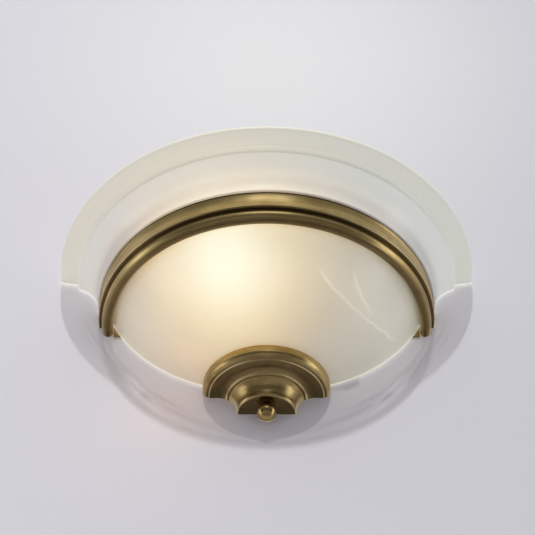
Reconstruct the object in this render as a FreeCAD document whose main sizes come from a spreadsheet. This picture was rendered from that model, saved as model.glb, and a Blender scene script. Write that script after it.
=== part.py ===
import FreeCAD, Part
import math
import os
from types import SimpleNamespace

import Sketcher

# Half-bowl wall lamp: a glass shade held in a brass half ring, with a stepped cap and a knob below.
# Lengths are millimetres. The origin is midway between the two wall fixing slots, on the wall's face.
# +X runs to the right as a viewer faces the lamp, -Y points out of the wall, +Z is up.
# A "drop" is measured down from the lower edge of the shade's rim.

SIZES = {
    # Shade
    "shade_radius": 175.0,
    "glass_wall": 4.5,
    "rim_height": 45.0,
    "brim_width": 14.6,
    "brim_fall": 1.9,
    "brim_step": 4.9,
    "step_draft": 1.2,
    "cove_lip": 1.6,
    "cove_lip_fall": 1.2,
    "cove_width": 16.6,
    "cove_height": 24.0,
    "neck_foot": 1.3,
    "seat_width": 3.6,
    "shoulder_inset": 10.9,
    "shoulder_height": 9.7,
    "bowl_foot_radius": 53.7,
    "bowl_depth": 121.85,
    "bowl_base_curve": 171.0,
    "glass_back_gap": 0.3,
    "notch_width": 9.0,
    # Ring
    "seat_gap": 0.3,
    "ring_setback": 1.4,
    "ring_wall": 2.4,
    "ring_edge": 0.4,
    "band_height": 15.4,
    "band_hollow": 1.2,
    "bead_setback": 3.2,
    "bead_start": 2.4,
    "bead_height": 8.0,
    "bead_skin": 1.2,
    "groove_depth": 3.9,
    "lip_setback": 12.5,
    "lip_rise": 3.6,
    "boss_inset": 3.0,
    "boss_radius": 2.5,
    "boss_length": 12.0,
    "boss_fall": 9.4,
    # Glass spacers
    "spacer_gap": 0.25,
    "spacer_height": 6.0,
    "spacer_width": 9.6,
    # Wall plate
    "plate_thickness": 1.5,
    "plate_inset": 10.6,
    "plate_top_drop": 8.0,
    "plate_foot": 0.4,
    "plate_corner": 6.0,
    "plate_lip_inset": 26.6,
    "plate_lip_depth": 6.0,
    "ear_top_fall": 1.0,
    "ear_foot_rise": 1.6,
    "ear_gap": 0.2,
    "fixing_spacing": 90.0,
    "fixing_slot_width": 5.0,
    "fixing_slot_length": 12.0,
    # Countersunk ring screws
    "ring_screw_radius": 1.2,
    "ring_screw_head": 2.1,
    "ring_screw_sink": 1.3,
    "ring_screw_length": 10.0,
    "thread_gap": 0.05,
    # Rivets
    "rivet_radius": 1.6,
    "rivet_head_radius": 3.0,
    "rivet_head_height": 1.5,
    # Drop arm, stud and clamp
    "strap_width": 18.0,
    "strap_wall": 1.5,
    "strap_bend": 2.5,
    "strap_top": 11.0,
    "strap_rivet_spacing": 13.0,
    "stud_reach": 12.0,
    "stud_radius": 3.0,
    "stud_end_gap": 0.6,
    "stud_spare": 5.0,
    "stud_chamfer": 0.6,
    "stud_hole_gap": 0.3,
    "stud_nut_flats": 10.0,
    "stud_nut_height": 5.0,
    "clamp_washer_radius": 8.0,
    "clamp_washer_height": 1.2,
    "clamp_pad_height": 1.6,
    "clamp_pad_gap": 1.25,
    # Bottom cap
    "cap_radius": 51.3,
    "cap_skin": 1.6,
    "cap_glass_gap": 0.35,
    "cap_side": 3.6,
    "ovolo_fall": 2.75,
    "ovolo_radius": 46.3,
    "fillet_line": 0.8,
    "tier_radius": 37.7,
    "tier_fall": 3.25,
    "tier_foot_radius": 32.0,
    "tier_foot_fall": 5.15,
    "tier_edge": 0.7,
    "cap_neck_radius": 30.2,
    "cap_neck_foot_radius": 24.0,
    "cap_neck_foot_fall": 17.55,
    "cap_foot_radius": 22.4,
    "cap_foot_fall": 20.25,
    # Finial
    "finial_washer_radius": 5.2,
    "finial_washer_height": 0.8,
    "finial_gap": 0.3,
    "finial_radius": 7.7,
    "finial_flat_radius": 4.0,
    "finial_bore_gap": 0.05,
    "finial_bore_depth": 10.0,
    # Lampholder and its bracket
    "holder_drop": 38.0,
    "holder_radius": 20.5,
    "holder_rear_radius": 15.0,
    "holder_length": 46.0,
    "holder_rear_length": 12.0,
    "holder_floor": 8.0,
    "holder_bore_radius": 15.4,
    "shell_radius": 13.3,
    "shell_wall": 0.6,
    "shell_start": 14.0,
    "shell_length": 23.0,
    "contact_width": 6.0,
    "contact_wall": 0.5,
    "contact_rise": 3.05,
    "contact_span": 14.0,
    "nipple_radius": 5.0,
    "nipple_bore": 3.6,
    "nipple_inset": 7.0,
    "nipple_length": 14.5,
    "nipple_nut_flats": 14.0,
    "nipple_nut_height": 3.5,
    "bracket_wall": 1.5,
    "bracket_bend": 2.5,
    "bracket_height": 24.0,
    "bracket_foot": 14.0,
    "bracket_foot_gap": 7.0,
    "bracket_overhang": 14.0,
    "bracket_hole_gap": 0.15,
    "bracket_rivet_spacing": 14.0,
    "bracket_rivet_inset": 8.5,
    # Bulb
    "bulb_start": 11.4,
    "bulb_length": 107.0,
    "bulb_radius": 30.0,
    "bulb_cap_radius": 13.22,
    "bulb_cap_start": 5.0,
    "bulb_cap_end": 27.0,
    "bulb_cap_wall": 0.5,
    "bulb_cap_neck": 10.8,
    "bulb_contact_radius": 4.0,
    "bulb_contact_height": 1.2,
    "bulb_collar_radius": 14.6,
    "bulb_collar_length": 8.0,
    "bulb_seam": 62.0,
    "bulb_seam_radius": 26.6,
    "bulb_wall": 1.2,
    "led_board_radius": 24.4,
    "led_board_height": 1.6,
    # Terminal block
    "block_z": 8.0,
    "block_length": 31.0,
    "block_height": 17.0,
    "block_depth": 13.0,
    "block_round": 1.2,
    "block_pitch": 10.0,
    "block_wire_radius": 1.7,
    "block_wire_depth": 5.0,
    "block_screw_radius": 2.0,
    "block_well_radius": 2.3,
    "block_well_depth": 4.0,
    "block_screw_height": 3.0,
    "block_screw_slot": 0.6,
    "block_hole_radius": 1.5,
    "block_hole_depth": 6.5,
    "block_screw_length": 7.5,
    "block_screw_head": 2.6,
    # Earth screw and cable grommet
    "earth_z": 20.0,
    "earth_head_radius": 4.0,
    "earth_head_height": 2.2,
    "earth_shank_radius": 2.0,
    "earth_tag_radius": 4.2,
    "earth_tag_wall": 0.8,
    "earth_tag_length": 10.0,
    "earth_tag_width": 3.6,
    "entry_z": 20.0,
    "entry_bore": 4.5,
    "entry_hole": 6.5,
    "entry_flange": 9.0,
    "entry_flange_height": 2.2,
    # Leads
    "lead_radius": 1.0,
    "lead_pitch": 2.6,
    "lead_bend": 6.0,
    "lead_level": 27.0,
    "lead_standoff": 8.0,
    "lead_clearance": 15.0,
    "lead_inset": 4.0,
    # Cuts run this far past the face that they open
    "overrun": 2.0,
}

# Middle point of a quarter turn, measured from its square corner
CORNER_SHARE = 0.2929
# Half of a right angle's diagonal, for the middle of a quarter turn about its centre
DIAGONAL_SHARE = 0.7071
# Corner radius of a hexagon against half its width across the flats
HEXAGON_SHARE = 1.1547
# Where the cove's middle lies between neck and brim: outwards, and down from its upper end
COVE_SHARES = (0.30, 0.354)
# Where the shoulder's middle lies between the bowl's top and the seat: outwards, and up
SHOULDER_SHARES = (0.42, 0.536)
# Where the bowl's middle lies between its foot and its top: outwards, and down from its top
BOWL_SHARES = (0.618, 0.593)
# Where the bead's foot lies between the lip and the bead's edge
BEAD_FOOT_SHARE = 0.44
# Where the lip's middle lies: outwards to the bead's foot, and up to the lip
LIP_SHARES = (0.4, 0.3)
# Where the middle of each curve of the cap lies between its ends: outwards, and up
OVOLO_SHARES = (0.75, 0.36)
TIER_SHARES = (0.42, 0.70)
CAP_NECK_SHARES = (0.30, 0.60)
CAP_FOOT_SHARES = (0.75, 0.30)
# Where the middle of the bulb housing's flare lies: outwards, and along
HOUSING_SHARES = (0.42, 0.52)
# How far forwards the lampholder lies in the bowl, as a share of the shoulder
HOLDER_SHARE = 0.4458109
# Where block, earth screw and cable entry lie between the plate's middle and its left edge
BLOCK_SHARE = 0.7187994
EARTH_SHARE = 0.4897314
ENTRY_SHARE = 0.2843602
# Places of the three spacers along the half ring
SPACER_SHARES = (0.25, 0.5, 0.75)
# A pair of like things, half their spacing to each side
PAIR_SHARES = (-0.5, 0.5)
# Inward direction of the glass wall at each point of the outline: towards the axis, and up
INNER_SHARES = {
    "foot": (0.314, 0.949),
    "bowl": (0.689, 0.725),
    "shoulder": (0.919, 0.394),
    "flare": (0.815, 0.580),
    "neck": (1.000, 0.330),
    "cove": (0.820, 0.570),
    "brim": (0.450, 0.890),
}

document = FreeCAD.newDocument("WallLamp")
sheet = document.addObject("Spreadsheet::Sheet", "Sizes")
for row, (name, number) in enumerate(SIZES.items(), start=1):
    sheet.set(f"A{row}", name)
    sheet.set(f"B{row}", str(number))
    sheet.setAlias(f"B{row}", name)
document.recompute()


def formula_of(value):
    return value.formula if isinstance(value, Size) else repr(float(value))


class Size:
    """A length and its formula in the sheet's names, so that what is made from it stays tied to it."""

    def __init__(self, number, formula):
        self.number = float(number)
        self.formula = formula

    def __float__(self):
        return self.number

    def __neg__(self):
        return Size(-self.number, f"(0 - {self.formula})")

    def __add__(self, other):
        return Size(self.number + float(other), f"({self.formula} + {formula_of(other)})")

    def __sub__(self, other):
        return Size(self.number - float(other), f"({self.formula} - {formula_of(other)})")

    def __mul__(self, other):
        return Size(self.number * float(other), f"({self.formula} * {formula_of(other)})")

    def __truediv__(self, other):
        return Size(self.number / float(other), f"({self.formula} / {formula_of(other)})")

    def root(self):
        return Size(self.number ** 0.5, f"sqrt({self.formula})")


size = SimpleNamespace(**{name: Size(sheet.get(name), f"Sizes.{name}") for name in SIZES})
PARTS = {}


def between(low, high, share):
    return low + (high - low) * share


def level(drop):
    return size.rim_height - drop


def vector(point):
    return FreeCAD.Vector(float(point[0]), float(point[1]), 0)


def bind(thing, path, value):
    thing.setExpression(path, value.formula)


def place(thing, x=None, y=None, z=None, turn=None):
    """Puts a piece at sheet-driven coordinates, with a fixed turn given as (axis, degrees)."""
    rotation = FreeCAD.Rotation(FreeCAD.Vector(*turn[0]), turn[1]) if turn else FreeCAD.Rotation()
    base = FreeCAD.Vector(*(float(value) if value is not None else 0 for value in (x, y, z)))
    thing.Placement = FreeCAD.Placement(base, rotation)
    for axis, value in (("x", x), ("y", y), ("z", z)):
        if value is not None:
            bind(thing, f"Placement.Base.{axis}", value)


# Turns that bring a piece made along +Z to face along -Y or -X
TO_FRONT = ((1, 0, 0), 90)
TO_LEFT = ((0, 1, 0), -90)
# How near a corner lies to a face that it belongs to
FACE_TOLERANCE = 0.001


def new_body(name):
    body = document.addObject("PartDesign::Body", name)
    body.Label = name
    return body


def keep(name, thing):
    """Gives a finished piece its name and lists it for export."""
    thing.Label = name
    PARTS[name] = thing
    return thing


def new_sketch(body, role, shift=None):
    sketch = body.newObject("Sketcher::SketchObject", f"{body.Name}_sketch")
    plane = next(item for item in body.Origin.OriginFeatures if item.Role == role)
    sketch.AttachmentSupport = [(plane, "")]
    sketch.MapMode = "FlatFace"
    if shift is not None:
        bind(sketch, "AttachmentOffset.Base.z", shift)
    return sketch


def pin(sketch, geometry, end, point):
    """Ties a point of the sketch to its two sheet-driven coordinates."""
    for kind, axis, value in (("DistanceX", -2, point[0]), ("DistanceY", -1, point[1])):
        if float(value) == 0:
            sketch.addConstraint(Sketcher.Constraint("PointOnObject", geometry, end, axis))
            continue
        rule = sketch.addConstraint(Sketcher.Constraint(kind, -1, 1, geometry, end, float(value)))
        bind(sketch, f"Constraints[{rule}]", value)


def draw_arc(sketch, start, middle, finish):
    """Adds an arc through three points; returns it with the ends that lie at start and at finish."""
    first, second = vector(middle) - vector(start), vector(finish) - vector(middle)
    ahead = first.x * second.y - first.y * second.x > 0
    through = Part.Circle(vector(start), vector(middle), vector(finish))
    circle = Part.Circle(through.Center, FreeCAD.Vector(0, 0, 1), through.Radius)
    low, high = (start, finish) if ahead else (finish, start)
    arc = Part.ArcOfCircle(circle, circle.parameter(vector(low)), circle.parameter(vector(high)))
    geometry = sketch.addGeometry(arc, False)
    on_arc = sketch.addGeometry(Part.Point(vector(middle)), True)
    sketch.addConstraint(Sketcher.Constraint("PointOnObject", on_arc, 1, geometry))
    pin(sketch, on_arc, 1, middle)
    return (geometry, 1, 2) if ahead else (geometry, 2, 1)


def draw_outline(sketch, start, *steps):
    """Draws a closed outline. A step is the next corner, or an arc's middle and end as a pair."""
    corner = start
    runs = []
    for step in steps + (start,):
        if isinstance(step[0], tuple):
            finish = step[1]
            run = draw_arc(sketch, corner, step[0], finish)
        else:
            finish = step
            if (vector(finish) - vector(corner)).Length == 0:
                continue
            segment = Part.LineSegment(vector(corner), vector(finish))
            run = (sketch.addGeometry(segment, False), 1, 2)
        pin(sketch, run[0], run[1], corner)
        runs.append(run)
        corner = finish
    for this, following in zip(runs, runs[1:] + runs[:1]):
        meeting = Sketcher.Constraint("Coincident", this[0], this[2], following[0], following[1])
        sketch.addConstraint(meeting)


def draw_circle(sketch, centre, radius):
    circle = Part.Circle(vector(centre), FreeCAD.Vector(0, 0, 1), float(radius))
    geometry = sketch.addGeometry(circle, False)
    pin(sketch, geometry, 3, centre)
    rule = sketch.addConstraint(Sketcher.Constraint("Radius", geometry, float(radius)))
    bind(sketch, f"Constraints[{rule}]", radius)


def draw_box(sketch, low, high):
    draw_outline(sketch, low, (high[0], low[1]), high, (low[0], high[1]))


def draw_slot(sketch, centre, length, width):
    x, y = centre
    radius = width / 2
    half = length / 2 - radius
    draw_outline(
        sketch,
        (x - half, y - radius),
        (x + half, y - radius),
        ((x + half + radius, y), (x + half, y + radius)),
        (x - half, y + radius),
        ((x - half - radius, y), (x - half, y - radius)),
    )


def turn_solid(body, sketch, half=False):
    feature = body.newObject("PartDesign::Revolution", f"{body.Name}_turn")
    feature.Profile = sketch
    feature.ReferenceAxis = (sketch, ["V_Axis"])
    feature.Angle = 180 if half else 360
    feature.Reversed = half
    document.recompute()
    return feature


def turned(name, *outline, half=False):
    """A piece turned about its own +Z axis, from an outline of radius and height."""
    body = new_body(name)
    sketch = new_sketch(body, "XZ_Plane")
    draw_outline(sketch, *outline)
    turn_solid(body, sketch, half)
    return body


def pad(body, sketch, length, both_ways=False, backwards=False):
    feature = body.newObject("PartDesign::Pad", f"{body.Name}_pad")
    feature.Profile = sketch
    bind(feature, "Length", length)
    feature.Midplane = both_ways
    feature.Reversed = backwards
    document.recompute()
    return feature


def cut(body, sketch, length, backwards=False):
    """Cuts a sketch out of the body, along the sketch's normal when backwards is set."""
    before = body.Shape.Volume
    feature = body.newObject("PartDesign::Pocket", f"{body.Name}_cut")
    feature.Profile = sketch
    bind(feature, "Length", length)
    feature.Reversed = backwards
    document.recompute()
    if not body.Shape.Volume < before:
        raise RuntimeError(f"{body.Label}: a cut removes nothing")
    return feature


def round_edges(body, feature, radius, y):
    """Rounds the edges of the flat face that lies at this y."""
    names = [
        f"Edge{count}"
        for count, edge in enumerate(feature.Shape.Edges, start=1)
        if all(abs(corner.Y - float(y)) < FACE_TOLERANCE for corner in edge.Vertexes)
    ]
    fillet = body.newObject("PartDesign::Fillet", f"{body.Name}_round")
    fillet.Base = (feature, names)
    bind(fillet, "Radius", radius)
    document.recompute()


def cylinder(name, radius, height):
    thing = document.addObject("Part::Cylinder", name)
    bind(thing, "Radius", radius)
    bind(thing, "Height", height)
    return thing


def hexagon(name, flats, height):
    thing = document.addObject("Part::Prism", name)
    thing.Polygon = 6
    bind(thing, "Circumradius", flats / 2 * HEXAGON_SHARE)
    bind(thing, "Height", height)
    return thing


def difference(name, base, tool):
    thing = document.addObject("Part::Cut", name)
    thing.Base = base
    thing.Tool = tool
    return thing


def group(name, pieces):
    thing = document.addObject("Part::Compound", name)
    thing.Links = pieces
    return keep(name, thing)


def crown(radius, height):
    """The middle point, half-way out, of a domed face with this foot radius and height."""
    sphere = (radius * radius + height * height) / (height * 2)
    half = radius / 2
    return half, (sphere * sphere - half * half).root() - sphere + height


def tube(name, radius, bore, height):
    """A plain ring or washer about +Z, standing on its own origin."""
    return turned(name, (bore, ORIGIN), (radius, ORIGIN), (radius, height), (bore, height))


ORIGIN = Size(0, "0")
HALF_TURN = 180

# Glass shade: one half bowl with a flared brim, trimmed flat behind and notched for the stud.
brim_radius = size.shade_radius - size.brim_width
step_radius = brim_radius - size.step_draft
cove_radius = step_radius - size.cove_lip
cove_drop = size.brim_fall + size.brim_step + size.cove_lip_fall
neck_radius = cove_radius - size.cove_width
neck_drop = cove_drop + size.cove_height
seat_drop = neck_drop + size.neck_foot
seat = (neck_radius - size.seat_width, level(seat_drop))
shoulder = (neck_radius - size.shoulder_inset, level(seat_drop + size.shoulder_height))
flare = (
    between(shoulder[0], seat[0], SHOULDER_SHARES[0]),
    between(shoulder[1], seat[1], SHOULDER_SHARES[1]),
)
rim_round = size.glass_wall / 2
glass_back = size.plate_thickness + size.glass_back_gap


def bowl_drop(radius):
    """Drop of the glass's underside near the foot of the bowl."""
    curve = size.bowl_base_curve
    return size.bowl_depth - (curve - (curve * curve - radius * radius).root())


def inward(point, share):
    """The matching point on the inside of the glass."""
    return (point[0] - size.glass_wall * share[0], point[1] + size.glass_wall * share[1])


def make_glass_shade():
    foot = (size.bowl_foot_radius, level(bowl_drop(size.bowl_foot_radius)))
    base = (size.bowl_foot_radius / 2, level(bowl_drop(size.bowl_foot_radius / 2)))
    bowl = (
        between(foot[0], shoulder[0], BOWL_SHARES[0]),
        between(shoulder[1], foot[1], BOWL_SHARES[1]),
    )
    neck = (neck_radius, level(neck_drop))
    brim = (cove_radius, level(cove_drop))
    cove = (between(neck[0], brim[0], COVE_SHARES[0]), between(brim[1], neck[1], COVE_SHARES[1]))
    step_foot = (step_radius, level(size.brim_fall + size.brim_step))
    edge_radius = size.shade_radius - rim_round
    rim_top = size.rim_height + size.glass_wall
    inner_base = (ORIGIN, level(size.bowl_depth) + size.glass_wall)
    inner_step = (step_radius - size.glass_wall / 2, rim_top - size.brim_fall)
    shade = turned(
        "glass_shade",
        (ORIGIN, level(size.bowl_depth)),
        (base, foot),
        (bowl, shoulder),
        (flare, seat),
        (neck_radius, level(seat_drop)),
        neck,
        (cove, brim),
        step_foot,
        (brim_radius, level(size.brim_fall)),
        (edge_radius, level(ORIGIN)),
        ((size.shade_radius, level(ORIGIN) + rim_round), (edge_radius, rim_top)),
        inner_step,
        inward(brim, INNER_SHARES["brim"]),
        (inward(cove, INNER_SHARES["cove"]), inward(neck, INNER_SHARES["neck"])),
        inward(flare, INNER_SHARES["flare"]),
        inward(shoulder, INNER_SHARES["shoulder"]),
        (inward(bowl, INNER_SHARES["bowl"]), inward(foot, INNER_SHARES["foot"])),
        ((base[0], base[1] + size.glass_wall), inner_base),
        half=True,
    )
    back = new_sketch(shade, "XZ_Plane")
    reach = size.shade_radius + size.overrun
    draw_box(back, (-reach, level(size.bowl_depth) - size.overrun), (reach, rim_top + size.overrun))
    cut(shade, back, glass_back, backwards=True)
    notch = new_sketch(shade, "XY_Plane", level(size.bowl_depth) - size.overrun)
    half = size.notch_width / 2
    draw_outline(
        notch,
        (half, ORIGIN),
        (-half, ORIGIN),
        (-half, -size.stud_reach),
        ((ORIGIN, -size.stud_reach - half), (half, -size.stud_reach)),
    )
    cut(shade, notch, size.glass_wall * 2 + size.overrun, backwards=True)
    keep("glass_shade", shade)


# Brass half ring: a hollow-faced band over a groove and a bead, with a screw boss at each end.
ring_radius = neck_radius - size.ring_setback
ring_drop = seat_drop + size.seat_gap
band_foot_drop = ring_drop + size.band_height
bead_foot_drop = band_foot_drop + size.bead_start + size.bead_height
ring_bore = ring_radius - size.ring_wall
boss_level = level(ring_drop + size.boss_fall)
ring_screw_x = ring_bore - size.boss_inset


def make_ring_band():
    groove = ring_radius - size.groove_depth
    bead_top = (ring_radius - size.bead_setback, level(band_foot_drop + size.bead_start))
    lip = (ring_radius - size.lip_setback, level(bead_foot_drop - size.lip_rise))
    bead_foot = (between(lip[0], bead_top[0], BEAD_FOOT_SHARE), level(bead_foot_drop))
    bead_middle = (
        between(bead_foot[0], bead_top[0], DIAGONAL_SHARE),
        between(bead_foot[1], bead_top[1], CORNER_SHARE),
    )
    lip_middle = (
        between(lip[0], bead_foot[0], LIP_SHARES[0]),
        between(bead_foot[1], lip[1], LIP_SHARES[1]),
    )
    skin = size.bead_skin
    inner_edge = bead_top[0] - skin * 2
    ring = turned(
        "ring_band",
        (ring_bore, level(ring_drop)),
        (ring_radius - size.ring_edge, level(ring_drop)),
        (ring_radius, level(ring_drop + size.ring_edge)),
        (
            (ring_radius - size.band_hollow, level(ring_drop + size.band_height / 2)),
            (ring_radius, level(band_foot_drop - size.ring_edge)),
        ),
        (ring_radius - size.ring_edge, level(band_foot_drop)),
        (ring_radius - size.bead_skin, level(band_foot_drop + size.ring_edge)),
        (groove, level(band_foot_drop + size.ring_edge)),
        (groove, level(band_foot_drop + size.ring_edge * 3)),
        bead_top,
        (bead_middle, bead_foot),
        (lip_middle, lip),
        (lip[0] + skin / 2, lip[1] + skin / 2),
        (bead_foot[0], bead_foot[1] + skin),
        (inner_edge, level(band_foot_drop + size.bead_start)),
        (inner_edge, level(band_foot_drop)),
        (ring_bore, level(band_foot_drop - skin)),
        half=True,
    )
    boss = new_sketch(ring, "XZ_Plane", size.plate_thickness)
    height = boss_level
    for side in (1, -1):
        centre = ring_screw_x * side
        wall = (ring_bore + size.ring_wall / 2) * side
        draw_outline(
            boss,
            (wall, height - size.boss_radius),
            (wall, height + size.boss_radius),
            (centre, height + size.boss_radius),
            ((centre - size.boss_radius * side, height), (centre, height - size.boss_radius)),
        )
    pad(ring, boss, size.boss_length)
    holes = new_sketch(ring, "XZ_Plane", size.plate_thickness)
    for side in (1, -1):
        draw_circle(holes, (ring_screw_x * side, height), size.ring_screw_radius + size.thread_gap)
    cut(ring, holes, size.ring_screw_length, backwards=True)
    keep("ring_band", ring)


def make_ring_screws():
    screws = []
    for side, name in ((-1, "left"), (1, "right")):
        screw = turned(
            f"ring_screw_{name}",
            (ORIGIN, ORIGIN),
            (size.ring_screw_head, ORIGIN),
            (size.ring_screw_radius, size.ring_screw_sink),
            (size.ring_screw_radius, size.ring_screw_length),
            (ORIGIN, size.ring_screw_length),
        )
        place(screw, ring_screw_x * side, ORIGIN, boss_level, TO_FRONT)
        screws.append(screw)
    group("ring_screws", screws)


def make_glass_spacers():
    spacers = []
    arc = size.spacer_width / ring_bore * math.degrees(1)
    for count, share in enumerate(SPACER_SHARES, start=1):
        spacer = new_body(f"glass_spacer_{count}")
        sketch = new_sketch(spacer, "XZ_Plane")
        low = (flare[0] + size.spacer_gap, flare[1] - size.spacer_height)
        draw_box(sketch, low, (ring_bore, flare[1]))
        feature = turn_solid(spacer, sketch, half=True)
        bind(feature, "Angle", arc)
        place(spacer, turn=((0, 0, 1), float(arc) / 2 - HALF_TURN * share))
        spacers.append(spacer)
    group("glass_spacers", spacers)


# Wall plate: pressed steel, with ears behind the ring's ends and a stiffening lip along the top.
plate_half = ring_bore - size.plate_inset
block_x = plate_half * BLOCK_SHARE
earth_x = plate_half * EARTH_SHARE
entry_x = plate_half * ENTRY_SHARE
strap_rivets = tuple(size.strap_rivet_spacing * share for share in PAIR_SHARES)
slot_end = (size.fixing_spacing + size.fixing_slot_length) / 2
holder_rear = slot_end + size.bracket_foot_gap + size.bracket_foot
holder_reach = shoulder[0] * HOLDER_SHARE
holder_height = level(size.holder_drop)
bracket_rivets = tuple(holder_height + size.bracket_rivet_spacing * share for share in PAIR_SHARES)
bracket_rivet_x = holder_rear - size.bracket_rivet_inset


def make_wall_plate():
    plate = new_body("wall_plate")
    sketch = new_sketch(plate, "XZ_Plane")
    wide, ear = plate_half, ring_bore - size.ear_gap
    low, high = level(bead_foot_drop + size.plate_foot), level(size.plate_top_drop)
    ear_low, ear_high = level(band_foot_drop - size.ear_foot_rise), level(ring_drop + size.ear_top_fall)
    corner = size.plate_corner
    bend = corner * CORNER_SHARE
    draw_outline(
        sketch,
        (-wide, low),
        (wide, low),
        (wide, ear_low),
        (ear, ear_low),
        (ear, ear_high),
        (wide, ear_high),
        (wide, high - corner),
        ((wide - bend, high - bend), (wide - corner, high)),
        (corner - wide, high),
        ((bend - wide, high - bend), (-wide, high - corner)),
        (-wide, ear_high),
        (-ear, ear_high),
        (-ear, ear_low),
        (-wide, ear_low),
    )
    for side in (1, -1):
        centre = (size.fixing_spacing / 2 * side, ORIGIN)
        draw_slot(sketch, centre, size.fixing_slot_length, size.fixing_slot_width)
        draw_circle(sketch, (ring_screw_x * side, boss_level), size.ring_screw_head)
    for height in strap_rivets:
        draw_circle(sketch, (ORIGIN, height), size.rivet_radius)
    for height in bracket_rivets:
        draw_circle(sketch, (bracket_rivet_x, height), size.rivet_radius)
    draw_circle(sketch, (-entry_x, size.entry_z), size.entry_hole)
    draw_circle(sketch, (-earth_x, size.earth_z), size.earth_shank_radius)
    draw_circle(sketch, (-block_x, size.block_z), size.block_screw_head)
    pad(plate, sketch, size.plate_thickness)
    lip = new_sketch(plate, "XZ_Plane", size.plate_thickness)
    half = wide - size.plate_lip_inset
    draw_box(lip, (-half, high - size.plate_thickness), (half, high))
    pad(plate, lip, size.plate_lip_depth)
    keep("wall_plate", plate)


def make_rivets(name, places):
    """Dome-headed rivets through the plate and one strap on its front."""
    rivets = []
    grip = size.plate_thickness + size.strap_wall
    head = size.rivet_head_radius
    middle = crown(head, size.rivet_head_height)
    for count, (x, z) in enumerate(places, start=1):
        rivet = turned(
            f"{name}_{count}",
            (ORIGIN, ORIGIN),
            (size.rivet_radius, ORIGIN),
            (size.rivet_radius, grip),
            (head, grip),
            ((middle[0], grip + middle[1]), (ORIGIN, grip + size.rivet_head_height)),
        )
        place(rivet, x, ORIGIN, z, TO_FRONT)
        rivets.append(rivet)
    group(name, rivets)


# Drop arm: a bent strap that carries the stud above the foot of the bowl.
glass_floor = level(size.bowl_depth) + size.glass_wall
pad_foot = glass_floor + size.clamp_pad_gap
washer_foot = pad_foot + size.clamp_pad_height
low_nut_foot = washer_foot + size.clamp_washer_height
strap_foot = low_nut_foot + size.stud_nut_height
strap_head = strap_foot + size.strap_wall
stud_hole_radius = size.stud_radius + size.stud_hole_gap


def bent_strap(sketch, near, far, start, finish, wall, bend):
    """An angle section: one leg from near to far along x, the other from start to finish along y."""
    outer = bend + wall
    draw_outline(
        sketch,
        (near, finish),
        (near, start + outer),
        ((near - outer * CORNER_SHARE, start + outer * CORNER_SHARE), (near - outer, start)),
        (far, start),
        (far, start + wall),
        (near - outer, start + wall),
        (
            (near - wall - bend * CORNER_SHARE, start + wall + bend * CORNER_SHARE),
            (near - wall, start + outer),
        ),
        (near - wall, finish),
    )


def make_drop_arm():
    arm = new_body("drop_arm")
    sketch = new_sketch(arm, "YZ_Plane")
    far = -(size.stud_reach + size.strap_width / 2)
    top = size.strap_top
    bent_strap(sketch, -size.plate_thickness, far, strap_foot, top, size.strap_wall, size.strap_bend)
    pad(arm, sketch, size.strap_width, both_ways=True)
    hole = new_sketch(arm, "XY_Plane", strap_head + size.overrun)
    draw_circle(hole, (ORIGIN, -size.stud_reach), stud_hole_radius)
    cut(arm, hole, size.strap_wall + size.overrun * 2)
    rivet_holes = new_sketch(arm, "XZ_Plane")
    for height in strap_rivets:
        draw_circle(rivet_holes, (ORIGIN, height), size.rivet_radius)
    cut(arm, rivet_holes, size.plate_thickness + size.strap_wall + size.overrun, backwards=True)
    keep("drop_arm", arm)


# Finial stack levels, from the cap's flat foot down to the knob.
bowl_foot = level(size.bowl_depth)
cap_foot = bowl_foot - size.cap_foot_fall
finial_washer_foot = cap_foot - size.finial_washer_height
finial_top = finial_washer_foot - size.finial_gap
finial_flat = size.finial_flat_radius
finial_centre = finial_top - (size.finial_radius * size.finial_radius - finial_flat * finial_flat).root()
finial_bore_top = finial_top - size.finial_bore_depth
stud_foot = finial_bore_top + size.stud_end_gap
stud_top = strap_head + size.stud_nut_height + size.stud_spare


def make_finial_stud():
    edge = size.stud_radius - size.stud_chamfer
    stud = turned(
        "finial_stud",
        (ORIGIN, stud_foot),
        (edge, stud_foot),
        (size.stud_radius, stud_foot + size.stud_chamfer),
        (size.stud_radius, stud_top - size.stud_chamfer),
        (edge, stud_top),
        (ORIGIN, stud_top),
    )
    place(stud, y=-size.stud_reach)
    keep("finial_stud", stud)


def hexagon_nut(name, flats, height, bore):
    body = hexagon(f"{name}_hexagon", flats, height)
    hole = cylinder(f"{name}_hole", bore, height)
    return difference(name, body, hole)


def make_stud_nuts():
    nuts = []
    for name, foot in (("low", low_nut_foot), ("high", strap_head)):
        bore = size.stud_radius + size.thread_gap
        nut = hexagon_nut(f"stud_nut_{name}", size.stud_nut_flats, size.stud_nut_height, bore)
        place(nut, y=-size.stud_reach, z=foot)
        nuts.append(nut)
    group("stud_nuts", nuts)


def make_clamp():
    washer = tube("clamp_washer", size.clamp_washer_radius, stud_hole_radius, size.clamp_washer_height)
    place(washer, y=-size.stud_reach, z=washer_foot)
    keep("clamp_washer", washer)
    soft = tube("clamp_pad", size.clamp_washer_radius, stud_hole_radius, size.clamp_pad_height)
    place(soft, y=-size.stud_reach, z=pad_foot)
    keep("clamp_pad", soft)


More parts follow.
